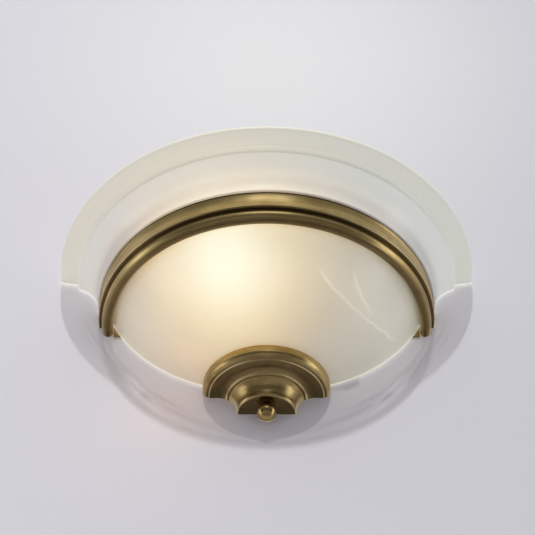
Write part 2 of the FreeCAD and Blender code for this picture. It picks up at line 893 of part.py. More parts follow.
# Bottom cap: a spun half shell of three tiers, open behind, that closes the notch in the glass.
def make_bottom_cap():
    skin = size.cap_skin
    inner_radius = size.cap_radius - skin
    top = level(bowl_drop(size.cap_radius) + size.cap_glass_gap)
    inner_top = level(bowl_drop(inner_radius) + size.cap_glass_gap)
    ovolo_top = top - size.cap_side
    ovolo_foot = bowl_foot - size.ovolo_fall
    tier = bowl_foot - size.tier_fall
    tier_foot = bowl_foot - size.tier_foot_fall
    neck_top = tier_foot - size.tier_edge
    neck_foot = bowl_foot - size.cap_neck_foot_fall
    neck_middle = (
        between(size.cap_neck_foot_radius, size.cap_neck_radius, CAP_NECK_SHARES[0]),
        between(neck_foot, neck_top, CAP_NECK_SHARES[1]),
    )
    floor = cap_foot + skin
    cap = turned(
        "bottom_cap",
        (inner_radius, inner_top),
        (size.cap_radius, top),
        (size.cap_radius, ovolo_top),
        (
            (
                between(size.ovolo_radius, size.cap_radius, OVOLO_SHARES[0]),
                between(ovolo_foot, ovolo_top, OVOLO_SHARES[1]),
            ),
            (size.ovolo_radius, ovolo_foot),
        ),
        (size.ovolo_radius - size.fillet_line, tier),
        (size.tier_radius, tier),
        (
            (
                between(size.tier_foot_radius, size.tier_radius, TIER_SHARES[0]),
                between(tier_foot, tier, TIER_SHARES[1]),
            ),
            (size.tier_foot_radius, tier_foot),
        ),
        (size.tier_foot_radius - size.tier_edge, neck_top),
        (size.cap_neck_radius, neck_top),
        (neck_middle, (size.cap_neck_foot_radius, neck_foot)),
        (
            (
                between(size.cap_foot_radius, size.cap_neck_foot_radius, CAP_FOOT_SHARES[0]),
                between(cap_foot, neck_foot, CAP_FOOT_SHARES[1]),
            ),
            (size.cap_foot_radius, cap_foot),
        ),
        (ORIGIN, cap_foot),
        (ORIGIN, floor),
        (size.cap_foot_radius - skin, floor),
        (size.cap_neck_foot_radius - skin, neck_foot),
        (
            (neck_middle[0] - skin, neck_middle[1] + skin / 2),
            (size.cap_neck_radius - skin, neck_top + skin),
        ),
        (size.tier_foot_radius - skin, tier_foot + skin),
        (size.tier_radius, tier + skin),
        (size.ovolo_radius - skin, tier + skin),
        (inner_radius, ovolo_top),
        half=True,
    )
    hole = new_sketch(cap, "XY_Plane", cap_foot - size.overrun)
    draw_circle(hole, (ORIGIN, -size.stud_reach), stud_hole_radius)
    cut(cap, hole, skin + size.overrun * 2, backwards=True)
    keep("bottom_cap", cap)


def make_finial():
    washer = tube(
        "finial_washer", size.finial_washer_radius, stud_hole_radius, size.finial_washer_height
    )
    place(washer, y=-size.stud_reach, z=finial_washer_foot)
    keep("finial_washer", washer)
    bore = size.stud_radius + size.finial_bore_gap
    ball = turned(
        "finial_ball",
        (bore, finial_top),
        (size.finial_flat_radius, finial_top),
        ((size.finial_radius, finial_centre), (ORIGIN, finial_centre - size.finial_radius)),
        (ORIGIN, finial_bore_top),
        (bore, finial_bore_top),
    )
    place(ball, y=-size.stud_reach)
    keep("finial_ball", ball)


# Lampholder on its bracket; its pieces are turned along their own axis, then laid towards -X.
def lay_on_axis(thing, start=ORIGIN):
    """Lays a piece along the lampholder's axis, from the bracket's face towards the bulb's tip."""
    place(thing, holder_rear - start, -holder_reach, holder_height, TO_LEFT)


def make_holder_bracket():
    bracket = new_body("holder_bracket")
    low = holder_height - size.bracket_height / 2
    sketch = new_sketch(bracket, "XY_Plane", low)
    wall, bend = size.bracket_wall, size.bracket_bend
    outer = wall + bend
    face = holder_rear
    near = -size.plate_thickness
    far = -(holder_reach + size.bracket_overhang)
    foot = face - size.bracket_foot
    draw_outline(
        sketch,
        (foot, near),
        (face + wall - outer, near),
        (
            (face + wall - outer * CORNER_SHARE, near - outer * CORNER_SHARE),
            (face + wall, near - outer),
        ),
        (face + wall, far),
        (face, far),
        (face, near - outer),
        ((face - bend * CORNER_SHARE, near - wall - bend * CORNER_SHARE), (face - bend, near - wall)),
        (foot, near - wall),
    )
    pad(bracket, sketch, size.bracket_height)
    hole = new_sketch(bracket, "YZ_Plane", face - size.overrun)
    draw_circle(
        hole, (-holder_reach, holder_height), size.nipple_radius + size.bracket_hole_gap
    )
    cut(bracket, hole, wall + size.overrun * 2, backwards=True)
    rivet_holes = new_sketch(bracket, "XZ_Plane")
    for height in bracket_rivets:
        draw_circle(rivet_holes, (bracket_rivet_x, height), size.rivet_radius)
    cut(bracket, rivet_holes, size.plate_thickness + wall + size.overrun, backwards=True)
    keep("holder_bracket", bracket)


def make_lampholder():
    bore = size.nipple_radius + size.thread_gap
    body = turned(
        "lampholder_body",
        (bore, ORIGIN),
        (size.holder_rear_radius, ORIGIN),
        (
            (
                between(size.holder_rear_radius, size.holder_radius, DIAGONAL_SHARE),
                size.holder_rear_length * CORNER_SHARE,
            ),
            (size.holder_radius, size.holder_rear_length),
        ),
        (size.holder_radius, size.holder_length),
        (size.holder_bore_radius, size.holder_length),
        (size.holder_bore_radius, size.holder_floor),
        (bore, size.holder_floor),
    )
    lay_on_axis(body)
    keep("lampholder_body", body)
    outer = size.shell_radius + size.shell_wall
    end = size.shell_start + size.shell_length
    flange = size.holder_bore_radius - size.thread_gap
    shell = turned(
        "lampholder_shell",
        (flange, size.holder_floor),
        (flange, size.holder_floor + size.shell_wall),
        (outer, size.shell_start),
        (outer, end),
        (size.shell_radius, end),
        (size.shell_radius, size.shell_start),
        (size.shell_radius, size.holder_floor),
    )
    lay_on_axis(shell)
    keep("lampholder_shell", shell)


def make_lampholder_contact():
    """A bowed strip across the holder's floor, fixed at one end and free to be pressed down."""
    contact = new_body("lampholder_contact")
    sketch = new_sketch(contact, "XZ_Plane", -size.contact_width / 2)
    floor, wall = size.holder_floor, size.contact_wall
    half = size.contact_span / 2
    crown = floor + size.contact_rise
    draw_outline(
        sketch,
        (-half, floor),
        ((ORIGIN, crown - wall), (half, floor)),
        (half, floor + wall),
        ((ORIGIN, crown), (-half, floor + wall)),
    )
    pad(contact, sketch, size.contact_width)
    lay_on_axis(contact)
    keep("lampholder_contact", contact)


def make_nipple():
    start = size.nipple_inset - size.nipple_length
    nipple = tube("lampholder_nipple", size.nipple_radius, size.nipple_bore, size.nipple_length)
    lay_on_axis(nipple, start)
    keep("lampholder_nipple", nipple)
    bore = size.nipple_radius + size.thread_gap
    nut = hexagon_nut("nipple_nut", size.nipple_nut_flats, size.nipple_nut_height, bore)
    lay_on_axis(nut, -(size.bracket_wall + size.nipple_nut_height))
    keep("nipple_nut", nut)


# Bulb: screw cap, insulator and contact, housing, board and dome, all turned on one axis.
def make_bulb():
    start = size.bulb_start
    cap_start, cap_end = start + size.bulb_cap_start, start + size.bulb_cap_end
    tip = start + size.bulb_contact_height
    neck = size.bulb_cap_neck
    wall = size.bulb_cap_wall
    middle = crown(size.bulb_contact_radius, size.bulb_contact_height)
    contact = turned(
        "bulb_contact",
        (ORIGIN, start),
        ((middle[0], tip - middle[1]), (size.bulb_contact_radius, tip)),
        (ORIGIN, tip),
    )
    insulator = turned(
        "bulb_insulator",
        (ORIGIN, tip),
        (size.bulb_contact_radius, tip),
        (neck, cap_start),
        (ORIGIN, cap_start),
    )
    cap = turned(
        "bulb_cap",
        (neck - wall, cap_start),
        (neck, cap_start),
        (size.bulb_cap_radius, cap_start + size.bulb_cap_radius - neck),
        (size.bulb_cap_radius, cap_end),
        (size.bulb_cap_radius - wall, cap_end),
        (size.bulb_cap_radius - wall, cap_start + size.bulb_cap_radius - neck),
    )
    collar = size.bulb_collar_radius
    collar_end = cap_end + size.bulb_collar_length
    seam = start + size.bulb_seam
    shell = size.bulb_wall
    waist = (
        between(collar, size.bulb_seam_radius, HOUSING_SHARES[0]),
        between(collar_end, seam, HOUSING_SHARES[1]),
    )
    housing = turned(
        "bulb_housing",
        (size.bulb_cap_radius - wall - shell, cap_end),
        (collar, cap_end),
        (collar, collar_end),
        (waist, (size.bulb_seam_radius, seam)),
        (size.bulb_seam_radius - shell, seam),
        ((waist[0] - shell, waist[1]), (collar - shell, collar_end)),
        (size.bulb_cap_radius - wall - shell, collar_end),
    )
    board = turned(
        "led_board",
        (ORIGIN, seam - size.led_board_height),
        (size.led_board_radius, seam - size.led_board_height),
        (size.led_board_radius, seam),
        (ORIGIN, seam),
    )
    tip_end = start + size.bulb_length
    centre = tip_end - size.bulb_radius
    inside = size.bulb_radius - shell
    rise = centre - seam
    edge = (size.bulb_radius * size.bulb_radius - rise * rise).root()
    inner_edge = (inside * inside - rise * rise).root()
    dome = turned(
        "bulb_dome",
        (inner_edge, seam),
        (edge, seam),
        ((size.bulb_radius, centre), (ORIGIN, tip_end)),
        (ORIGIN, tip_end - shell),
        ((inside, centre), (inner_edge, seam)),
    )
    pieces = (contact, insulator, cap, housing, board, dome)
    for piece in pieces:
        lay_on_axis(piece)
        keep(piece.Name, piece)


# Terminal block, its screws, the earth screw and the grommet, all on the front of the plate.
block_poles = tuple(size.block_pitch * step - block_x for step in (-1, 0, 1))
block_face = size.plate_thickness + size.block_depth
block_top = size.block_z + size.block_height / 2


def make_terminal_block():
    block = new_body("terminal_block")
    sketch = new_sketch(block, "XZ_Plane", size.plate_thickness)
    left = -block_x - size.block_length / 2
    right = -block_x + size.block_length / 2
    low, high = size.block_z - size.block_height / 2, block_top
    draw_box(sketch, (left, low), (right, high))
    blank = pad(block, sketch, size.block_depth)
    round_edges(block, blank, size.block_round, -block_face)
    entries = new_sketch(block, "XY_Plane", high + size.overrun)
    for x in block_poles:
        draw_circle(entries, (x, -size.lead_standoff), size.block_wire_radius)
    cut(block, entries, size.block_wire_depth + size.overrun)
    low_entries = new_sketch(block, "XY_Plane", low - size.overrun)
    for x in block_poles:
        draw_circle(low_entries, (x, -size.lead_standoff), size.block_wire_radius)
    cut(block, low_entries, size.block_wire_depth + size.overrun, backwards=True)
    wells = new_sketch(block, "XZ_Plane", block_face + size.overrun)
    for x in block_poles:
        draw_circle(wells, (x, size.block_z), size.block_well_radius)
    cut(block, wells, size.block_well_depth + size.overrun)
    fixing = new_sketch(block, "XZ_Plane")
    draw_circle(fixing, (-block_x, size.block_z), size.block_hole_radius)
    cut(block, fixing, size.plate_thickness + size.block_hole_depth, backwards=True)
    keep("terminal_block", block)


def slotted_screw(name, radius, height, slot):
    screw = turned(name, (ORIGIN, ORIGIN), (radius, ORIGIN), (radius, height), (ORIGIN, height))
    groove = new_sketch(screw, "XY_Plane", height)
    reach = radius + size.overrun
    draw_box(groove, (-reach, -slot / 2), (reach, slot / 2))
    cut(screw, groove, slot)
    return screw


def make_terminal_screws():
    screws = []
    foot = block_face - size.block_well_depth
    for count, x in enumerate(block_poles, start=1):
        screw = slotted_screw(
            f"terminal_screw_{count}",
            size.block_screw_radius,
            size.block_screw_height,
            size.block_screw_slot,
        )
        place(screw, x, -foot, size.block_z, TO_FRONT)
        screws.append(screw)
    group("terminal_screws", screws)


def make_block_screw():
    """A flush-headed screw from behind the plate into the block's back."""
    shank = size.block_hole_radius - size.thread_gap
    screw = turned(
        "block_screw",
        (ORIGIN, ORIGIN),
        (size.block_screw_head, ORIGIN),
        (shank, size.plate_thickness - size.thread_gap),
        (shank, size.block_screw_length),
        (ORIGIN, size.block_screw_length),
    )
    place(screw, -block_x, ORIGIN, size.block_z, TO_FRONT)
    keep("block_screw", screw)


def make_earth_tag():
    """A ring tongue that is clamped under the earth screw and takes the earth lead."""
    tag = new_body("earth_tag")
    centre = (-earth_x, size.earth_z)
    sketch = new_sketch(tag, "XZ_Plane", size.plate_thickness)
    half = size.earth_tag_width / 2
    end = centre[0] - size.earth_tag_length
    top, low = centre[1] + half, centre[1] - half
    radius = size.earth_tag_radius
    root = centre[0] - (radius * radius - half * half).root()
    draw_outline(
        sketch,
        (end, low),
        (root, low),
        ((centre[0] + radius, centre[1]), (root, top)),
        (end, top),
    )
    draw_circle(sketch, centre, size.earth_shank_radius)
    pad(tag, sketch, size.earth_tag_wall)
    keep("earth_tag", tag)


def make_earth_screw():
    thickness = size.plate_thickness + size.earth_tag_wall
    head = size.earth_head_radius
    shank = size.earth_shank_radius - size.thread_gap
    screw = turned(
        "earth_screw",
        (ORIGIN, ORIGIN),
        (shank, ORIGIN),
        (shank, thickness),
        (head, thickness),
        (head, thickness + size.earth_head_height),
        (ORIGIN, thickness + size.earth_head_height),
    )
    groove = new_sketch(screw, "XY_Plane", thickness + size.earth_head_height)
    reach = head + size.overrun
    draw_box(groove, (-reach, -size.block_screw_slot / 2), (reach, size.block_screw_slot / 2))
    cut(screw, groove, size.block_screw_slot)
    place(screw, -earth_x, ORIGIN, size.earth_z, TO_FRONT)
    keep("earth_screw", screw)


def make_cable_grommet():
    thickness = size.plate_thickness
    flange_end = thickness + size.entry_flange_height
    grommet = turned(
        "cable_grommet",
        (size.entry_bore, ORIGIN),
        (size.entry_hole, ORIGIN),
        (size.entry_hole, thickness),
        (size.entry_flange, thickness),
        (size.entry_flange, thickness + size.entry_flange_height / 2),
        (size.entry_hole, flange_end),
        (size.entry_bore, flange_end),
    )
    place(grommet, -entry_x, ORIGIN, size.entry_z, TO_FRONT)
    keep("cable_grommet", grommet)


# Internal leads: round wires of straight runs joined by tangent arcs.
def rounded_path(points, bend):
    """A wire through the points, with each inner corner rounded to one bend radius."""
    edges = []
    here = points[0]
    for corner, after in zip(points[1:-1], points[2:]):
        arriving = (corner - here).normalize()
        leaving = (after - corner).normalize()
        half_turn = arriving.getAngle(leaving) / 2
        inset = bend * math.tan(half_turn)
        start = corner - arriving * inset
        finish = corner + leaving * inset
        inside = (leaving - arriving).normalize()
        depth = bend * (1 / math.cos(half_turn) - 1)
        edges.append(Part.LineSegment(here, start).toShape())
        edges.append(Part.Arc(start, corner + inside * depth, finish).toShape())
        here = finish
    edges.append(Part.LineSegment(here, points[-1]).toShape())
    return Part.Wire(edges)


def lead(name, bend, points):
    corners = [FreeCAD.Vector(*(float(value) for value in point)) for point in points]
    radius = float(size.lead_radius)
    path = rounded_path(corners, float(bend))
    ring = Part.Wire([Part.Circle(corners[0], corners[1] - corners[0], radius).toShape()])
    thing = document.addObject("Part::Feature", name)
    thing.Shape = path.makePipeShell([ring], True, False)
    thing.Placement = FreeCAD.Placement()
    expected = path.Length * math.pi * radius ** 2
    if abs(thing.Shape.Volume / expected - 1) > 0.01:
        raise RuntimeError(f"{name} is not swept along its whole path")
    keep(name, thing)


def make_leads():
    inside = block_top - size.lead_inset
    spread = size.lead_pitch / 2
    nipple_end = holder_rear - size.nipple_inset + size.lead_inset
    for name, pole, side in (("live_lead", block_poles[0], 1), ("neutral_lead", block_poles[1], -1)):
        high = size.lead_level + spread * side
        deep = size.lead_standoff
        turn_x = holder_rear + size.lead_clearance
        lead(name, size.lead_bend, (
            (pole, -deep, inside),
            (pole, -deep, high),
            (turn_x, -deep, high),
            (turn_x, -holder_reach, holder_height + spread * side),
            (nipple_end, -holder_reach, holder_height + spread * side),
        ))
    tag_end = -earth_x - size.earth_head_radius - size.lead_radius
    tag_face = size.plate_thickness + size.earth_tag_wall
    lead("earth_lead", size.lead_bend / 2, (
        (block_poles[2], -size.lead_standoff, inside),
        (block_poles[2], -size.lead_standoff, size.earth_z),
        (tag_end, -tag_face - size.lead_radius, size.earth_z),
    ))


make_glass_shade()
make_ring_band()
make_ring_screws()
make_glass_spacers()
make_wall_plate()
make_drop_arm()
make_rivets("drop_arm_rivets", [(ORIGIN, height) for height in strap_rivets])
make_finial_stud()
make_stud_nuts()
make_clamp()
make_bottom_cap()
make_finial()
make_holder_bracket()
make_rivets("holder_rivets", [(bracket_rivet_x, height) for height in bracket_rivets])
make_lampholder()
make_lampholder_contact()
make_nipple()
make_bulb()
make_terminal_block()
make_terminal_screws()
make_block_screw()
make_earth_tag()
make_earth_screw()
make_cable_grommet()
make_leads()

document.recompute()
for item in document.Objects:
    if "Invalid" in item.State or "Error" in item.State:
        raise RuntimeError(f"{item.Label} failed: {item.State}")
for name, thing in PARTS.items():
    if thing.Shape.isNull() or not thing.Shape.isValid() or not thing.Shape.Solids:
        raise RuntimeError(f"{name} has no valid solid")

os.makedirs("parts", exist_ok=True)
for name, thing in PARTS.items():
    thing.Shape.exportStep(f"parts/{name}.step")
    box = thing.Shape.BoundBox
    print(f"{name}: {len(thing.Shape.Solids)} solid(s), volume {thing.Shape.Volume:.0f}, "
          f"x {box.XMin:.1f} to {box.XMax:.1f}, y {box.YMin:.1f} to {box.YMax:.1f}, "
          f"z {box.ZMin:.1f} to {box.ZMax:.1f}")
print(f"{len(PARTS)} nodes")
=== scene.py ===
import cmath
import math

import bpy
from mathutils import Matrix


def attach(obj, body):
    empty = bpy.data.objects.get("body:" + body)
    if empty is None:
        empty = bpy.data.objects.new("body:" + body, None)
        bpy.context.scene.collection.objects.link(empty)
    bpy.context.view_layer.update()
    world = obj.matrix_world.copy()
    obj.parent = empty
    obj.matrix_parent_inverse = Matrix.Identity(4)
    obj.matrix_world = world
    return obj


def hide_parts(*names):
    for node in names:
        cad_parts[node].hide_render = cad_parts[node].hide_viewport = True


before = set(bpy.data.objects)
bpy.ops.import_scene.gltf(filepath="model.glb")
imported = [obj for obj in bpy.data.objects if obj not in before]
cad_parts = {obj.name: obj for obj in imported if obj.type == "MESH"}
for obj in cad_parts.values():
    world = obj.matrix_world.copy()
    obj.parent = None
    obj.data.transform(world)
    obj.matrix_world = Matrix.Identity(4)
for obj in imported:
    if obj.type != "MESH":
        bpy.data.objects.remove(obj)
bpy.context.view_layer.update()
scene = bpy.context.scene
scene.view_settings.view_transform = "Standard"


# CAMERA
# The picture was taken from in front and far below, looking up at 45 degrees with a long lens.
CAMERA_PLACE = (0.00075, -1.00417, -0.92703)
CAMERA_PITCH = 44.698
CAMERA_LENS = 110.26
CAMERA_SENSOR = 36


def new_object(name, data):
    """Puts data into the scene as an object."""
    made = bpy.data.objects.new(name, data)
    scene.collection.objects.link(made)
    return made


camera = bpy.data.cameras.new("camera")
camera.lens, camera.sensor_width = CAMERA_LENS, CAMERA_SENSOR
scene.camera = new_object("camera", camera)
scene.camera.location = CAMERA_PLACE
scene.camera.rotation_euler = (math.radians(90 + CAMERA_PITCH), 0, 0)


# WALL AND FLOOR
# A plain wall with a painted pool of light above the lamp and painted shade towards the right, and a pale
# floor far below.
# Neither is part of the lamp.
WALL_SIZE = 7.0
WALL_GAP = 0.0004
WALL_OPEN_NEAR = 0.012
WALL_LEFT = (0.80, 0.79, 0.84)
WALL_RIGHT_SHADE = (0.70, 0.695, 0.735)
WALL_LIGHT_POOL = (0.90, 0.90, 0.905)
WALL_SHADING = (-0.40, 0.45)
LIGHT_POOL_CENTRE = (0.0, 0.0, 0.36)
LIGHT_POOL_REACH = 0.35
PAINT_ROUGHNESS = 0.9
PAINT_SHINE = 0.1
FLOOR_LEVEL = -1.5
FLOOR_BACK = 1.0
FLOOR_COLOUR = (0.60, 0.59, 0.60)
FLOOR_MIRRORED = (0.29, 0.28, 0.27)


def add_node(tree, kind, settings=None, **inputs):
    """Adds a node. Inputs are named, or i0, i1... by place, and take a value or another node's output."""
    made = tree.nodes.new(kind)
    for name, value in (settings or {}).items():
        setattr(made, name, value)
    for name, value in inputs.items():
        by_place = name[0] == "i" and name[1:].isdigit()
        socket = made.inputs[int(name[1:]) if by_place else name.replace("_", " ")]
        if isinstance(value, bpy.types.NodeSocket):
            tree.links.new(value, socket)
        else:
            socket.default_value = value
    return made


def math_node(tree, operation, *values, kind="ShaderNodeMath", **more):
    inputs = {f"i{k}": value for k, value in enumerate(values)}
    outputs = add_node(tree, kind, {"operation": operation}, **inputs, **more).outputs
    return outputs["Value"] if operation in ("DISTANCE", "LENGTH", "DOT_PRODUCT") else outputs[0]


def product(tree, first, second):
    return math_node(tree, "MULTIPLY", first, second)


def vector_node(tree, operation, *values, **more):
    """Vector maths. A distance, a length and a dot product are numbers, and all else is a vector."""
    return math_node(tree, operation, *values, kind="ShaderNodeVectorMath", **more)


def parts_of(tree, vector):
    return add_node(tree, "ShaderNodeSeparateXYZ", Vector=vector).outputs


def own_place(tree):
    return add_node(tree, "ShaderNodeTexCoord").outputs["Object"]


def ray_fact(tree, fact):
    return add_node(tree, "ShaderNodeLightPath").outputs[fact]


def ramp(tree, value, low, high, at_low=0.0, at_high=1.0, kind="SMOOTHSTEP"):
    """Maps a value from one range to another, smoothly and without running past its ends."""
    return add_node(
        tree, "ShaderNodeMapRange", {"interpolation_type": kind},
        Value=value, From_Min=low, From_Max=high, To_Min=at_low, To_Max=at_high,
    ).outputs[0]


def fade(tree, value, low, high):
    """The same ramp downwards, from 1 to 0."""
    return ramp(tree, value, low, high, 1.0, 0.0)


def opaque(colour):
    """Gives a colour of three numbers its fourth. All else stays as it is."""
    return (*colour, 1) if isinstance(colour, tuple) else colour


def mix_colours(tree, share, first, second, kind="MIX"):
    """Mixes two colours, each given as three numbers or as another node's output."""
    settings = {"data_type": "RGBA", "blend_type": kind}
    colours = {"i6": opaque(first), "i7": opaque(second)}
    return add_node(tree, "ShaderNodeMix", settings, Factor=share, **colours).outputs[2]


def new_material(name, **inputs):
    """A node material with one Principled shader, whose inputs may be given."""
    material = bpy.data.materials.new(name)
    material.use_nodes = True
    tree = material.node_tree
    tree.nodes.clear()
    shader = add_node(tree, "ShaderNodeBsdfPrincipled", **inputs)
    add_node(tree, "ShaderNodeOutputMaterial", Surface=shader.outputs["BSDF"])
    return material, tree, shader


def see_through(tree, share, colour=(1.0, 1.0, 1.0)):
    """Makes the material's shader see-through, by a share of 0 or 1 that depends on the ray."""
    shader, output = tree.nodes["Principled BSDF"], tree.nodes["Material Output"]
    clear = add_node(tree, "ShaderNodeBsdfTransparent", Color=opaque(colour)).outputs["BSDF"]
    mixed = add_node(tree, "ShaderNodeMixShader", i0=share, i1=shader.outputs["BSDF"], i2=clear)
    tree.links.new(mixed.outputs["Shader"], output.inputs["Surface"])


def new_mesh(name, corners, edges=(), faces=()):
    mesh = bpy.data.meshes.new(name)
    mesh.from_pydata(corners, edges, faces)
    return mesh


def stage_plane(name, corners, material):
    mesh = new_mesh(name, corners, faces=[range(4)])
    mesh.materials.append(material)
    plane = new_object(name, mesh)


wall_paint, tree, shader = new_material(
    "wall_paint", Roughness=PAINT_ROUGHNESS, Specular_IOR_Level=PAINT_SHINE
)
place = own_place(tree)
# Painted light and shade on the wall: a pale pool above the lamp, and a darker tone to the right.
light_pool = fade(tree, vector_node(tree, "DISTANCE", place, LIGHT_POOL_CENTRE), 0.0, LIGHT_POOL_REACH)
sides = mix_colours(tree, ramp(tree, parts_of(tree, place)["X"], *WALL_SHADING), WALL_LEFT, WALL_RIGHT_SHADE)
tree.links.new(mix_colours(tree, light_pool, sides, WALL_LIGHT_POOL), shader.inputs["Base Color"])
# From behind, and for rays that met it within a finger's width, the wall is see-through, so that the
# lamp's back can be seen and is lit.
back = add_node(tree, "ShaderNodeNewGeometry").outputs["Backfacing"]
near = math_node(tree, "LESS_THAN", ray_fact(tree, "Ray Length"), WALL_OPEN_NEAR)
see_through(tree, math_node(tree, "MAXIMUM", back, near))

# Mirrored in the brass, the floor takes a darker colour, a painted dark reflection, as the room does.
floor_paint, tree, shader = new_material("floor_paint", Roughness=PAINT_ROUGHNESS)
floor_colour = mix_colours(tree, ray_fact(tree, "Is Glossy Ray"), FLOOR_COLOUR, FLOOR_MIRRORED)
tree.links.new(floor_colour, shader.inputs["Base Color"])

half = WALL_SIZE / 2
square = ((-half, -half), (half, -half), (half, half), (-half, half))
stage_plane("wall", [(x, WALL_GAP, z) for x, z in square], wall_paint)
oblong = ((-half, -WALL_SIZE), (half, -WALL_SIZE), (half, FLOOR_BACK), (-half, FLOOR_BACK))
stage_plane("floor", [(x, y, FLOOR_LEVEL) for x, y in oblong], floor_paint)


# LIGHT
# One small bright lamp far above and in front throws the bowl's shadow down the wall, in an even pale
# room that is darker below the horizon.
KEY_DISTANCE = 6.0
KEY_ELEVATION = 40.7
KEY_SIZE = 0.16
KEY_POWER = 165.0
# Three soft panels show only as reflections in the brass. Each has a bearing from straight in front, an
# elevation, a distance, a width, a height and a brightness.
PANELS = [
    (0, 42, 4.0, 1.5, 2.8, 1.5),
    (-80, -9, 3.0, 1.0, 2.8, 1.5),
    (80, -3, 3.0, 1.0, 3.7, 1.7),
]
# A faint warm panel under the bowl stands for the glow that reaches the wall.
WARM_PLACE = (-0.080, -0.045, -0.098)
WARM_SIZE = 0.07
WARM_COLOUR = (1.0, 0.42, 0.10)
WARM_POWER = 0.0036
ROOM_ABOVE = (0.66, 0.66, 0.68)
ROOM_BELOW = (0.20, 0.195, 0.20)
ROOM_BEHIND = (0.60, 0.60, 0.61)
ROOM_BEHIND_LOW = (0.15, 0.15, 0.15)
ROOM_MIRRORED = 0.42


def area_lamp(name, bearing, elevation, distance, power, unseen_by, size, tall=None):
    """A soft lamp that faces the middle from afar: a disk, or a panel where it is tall."""
    lamp = bpy.data.lights.new(name, "AREA")
    lamp.shape = "RECTANGLE" if tall else "DISK"
    lamp.size, lamp.size_y, lamp.energy = size, tall or size, power
    turn, rise = math.radians(bearing), math.radians(elevation)
    ahead = distance * math.cos(rise)
    made = new_object(name, lamp)
    made.location = (ahead * math.sin(turn), -ahead * math.cos(turn), distance * math.sin(rise))
    made.rotation_euler = (math.radians(90) - rise, 0, turn)
    for rays in unseen_by:
        setattr(made, "visible_" + rays, False)
    return made


area_lamp("key", 0, KEY_ELEVATION, KEY_DISTANCE, KEY_POWER, ["glossy"], KEY_SIZE)
for bearing, elevation, distance, wide, tall, brightness in PANELS:
    power = brightness * math.pi * wide * tall
    area_lamp("panel", bearing, elevation, distance, power, ["diffuse", "camera"], wide, tall)
warm = area_lamp("warm_panel", 0, 0, 0, WARM_POWER, ["camera", "glossy"], WARM_SIZE)
warm.location = WARM_PLACE
warm.data.color = WARM_COLOUR

room = bpy.data.worlds.new("room")
scene.world = room
room.use_nodes = True
tree = room.node_tree
tree.nodes.clear()
parts = parts_of(tree, add_node(tree, "ShaderNodeTexCoord").outputs["Generated"])
behind = ramp(tree, parts["Y"], 0.0, 0.02)
in_front = mix_colours(tree, ramp(tree, parts["Z"], -0.15, 0.65), ROOM_BELOW, ROOM_ABOVE)
at_back = mix_colours(tree, ramp(tree, parts["Z"], -0.62, -0.35), ROOM_BEHIND_LOW, ROOM_BEHIND)
mirrored = math_node(tree, "SUBTRACT", ray_fact(tree, "Is Glossy Ray"), behind)
background = add_node(
    tree, "ShaderNodeBackground", Color=mix_colours(tree, behind, in_front, at_back),
    Strength=ramp(tree, mirrored, 0.0, 1.0, 1.0, ROOM_MIRRORED),
)
add_node(tree, "ShaderNodeOutputWorld", Surface=background.outputs["Background"])


# WALL PLATE
# Pressed steel behind everything, brass-plated like the ring, and seen in the corners between ring and
# glass. Like every piece that keeps its CAD shape, it only gets a material here.
BRASS_BRIGHT = (0.64, 0.495, 0.215)
BRASS_DARK = (0.31, 0.205, 0.078)
RELIEF_DEPTH = 0.0001


def wavering(tree, value, amount, level):
    """A level that a noise moves up and down."""
    return math_node(tree, "MULTIPLY_ADD", math_node(tree, "SUBTRACT", value, 0.5), amount, level)


def new_group(name, inputs, outputs, tree_kind="ShaderNodeTree"):
    """A node group with sockets by kind, commas between, and its inputs as seen inside it."""
    group = bpy.data.node_groups.new(name, tree_kind)
    for way, kinds in (("INPUT", inputs), ("OUTPUT", outputs)):
        for kind, labels in kinds.items():
            for label in labels.split(", "):
                group.interface.new_socket(name=label, in_out=way, socket_type="NodeSocket" + kind)
    return group, add_node(group, "NodeGroupInput").outputs


def noise(tree, place, scale, detail, roughness=0.5, output="Fac"):
    return add_node(
        tree, "ShaderNodeTexNoise", Vector=place, Scale=scale, Detail=detail, Roughness=roughness
    ).outputs[output]


FINISH = {"Color": "Color", "Float": "Roughness, Height"}


def use_group(tree, group, place, **inputs):
    return add_node(tree, "ShaderNodeGroup", {"node_tree": group}, Place=place, **inputs)


def relief(tree, shader, strength, depth, height):
    bump = add_node(tree, "ShaderNodeBump", Strength=strength, Distance=depth, Height=height)
    tree.links.new(bump.outputs["Normal"], shader.inputs["Normal"])


def finished(name, group, strength, settings, centre=(0.0, 0.0, 0.0), **inputs):
    """A material with a group's colour, roughness and fine relief. More inputs go to the shader."""
    material, tree, shader = new_material(name, **inputs)
    place = vector_node(tree, "SUBTRACT", own_place(tree), centre)
    finish = use_group(tree, group, place, **{key: opaque(value) for key, value in settings.items()})
    tree.links.new(finish.outputs["Color"], shader.inputs["Base Color"])
    tree.links.new(finish.outputs["Roughness"], shader.inputs["Roughness"])
    relief(tree, shader, strength, RELIEF_DEPTH, finish.outputs["Height"])
    return material, tree, shader, finish


# Rolled and plated sheet: cloudy plating over fine grain that runs along the sheet.
plating, given = new_group(
    "plated_sheet", {"Vector": "Place", "Color": "Bright, Dark", "Float": "Grain, Roughness"}, FINISH
)
stretched = vector_node(plating, "MULTIPLY", given["Place"], (0.06, 1.0, 1.0))
rolled = noise(plating, stretched, given["Grain"], 3.0, 0.65)
cloudy = noise(plating, given["Place"], 38.0, 4.0, 0.6)
blend = math_node(plating, "MULTIPLY_ADD", rolled, 0.35, product(plating, cloudy, 0.65))
blend = ramp(plating, blend, 0.36, 0.64, kind="LINEAR")
toned = mix_colours(plating, blend, given["Dark"], given["Bright"])
rough = wavering(plating, cloudy, -0.25, given["Roughness"])
add_node(plating, "NodeGroupOutput", Color=toned, Roughness=rough, Height=rolled)


def plated_metal(name, bright, dark, roughness, grain=700.0, strength=0.15):
    settings = {"Bright": bright, "Dark": dark, "Grain": grain, "Roughness": roughness}
    return finished(name, plating, strength, settings, Metallic=1.0)[0]


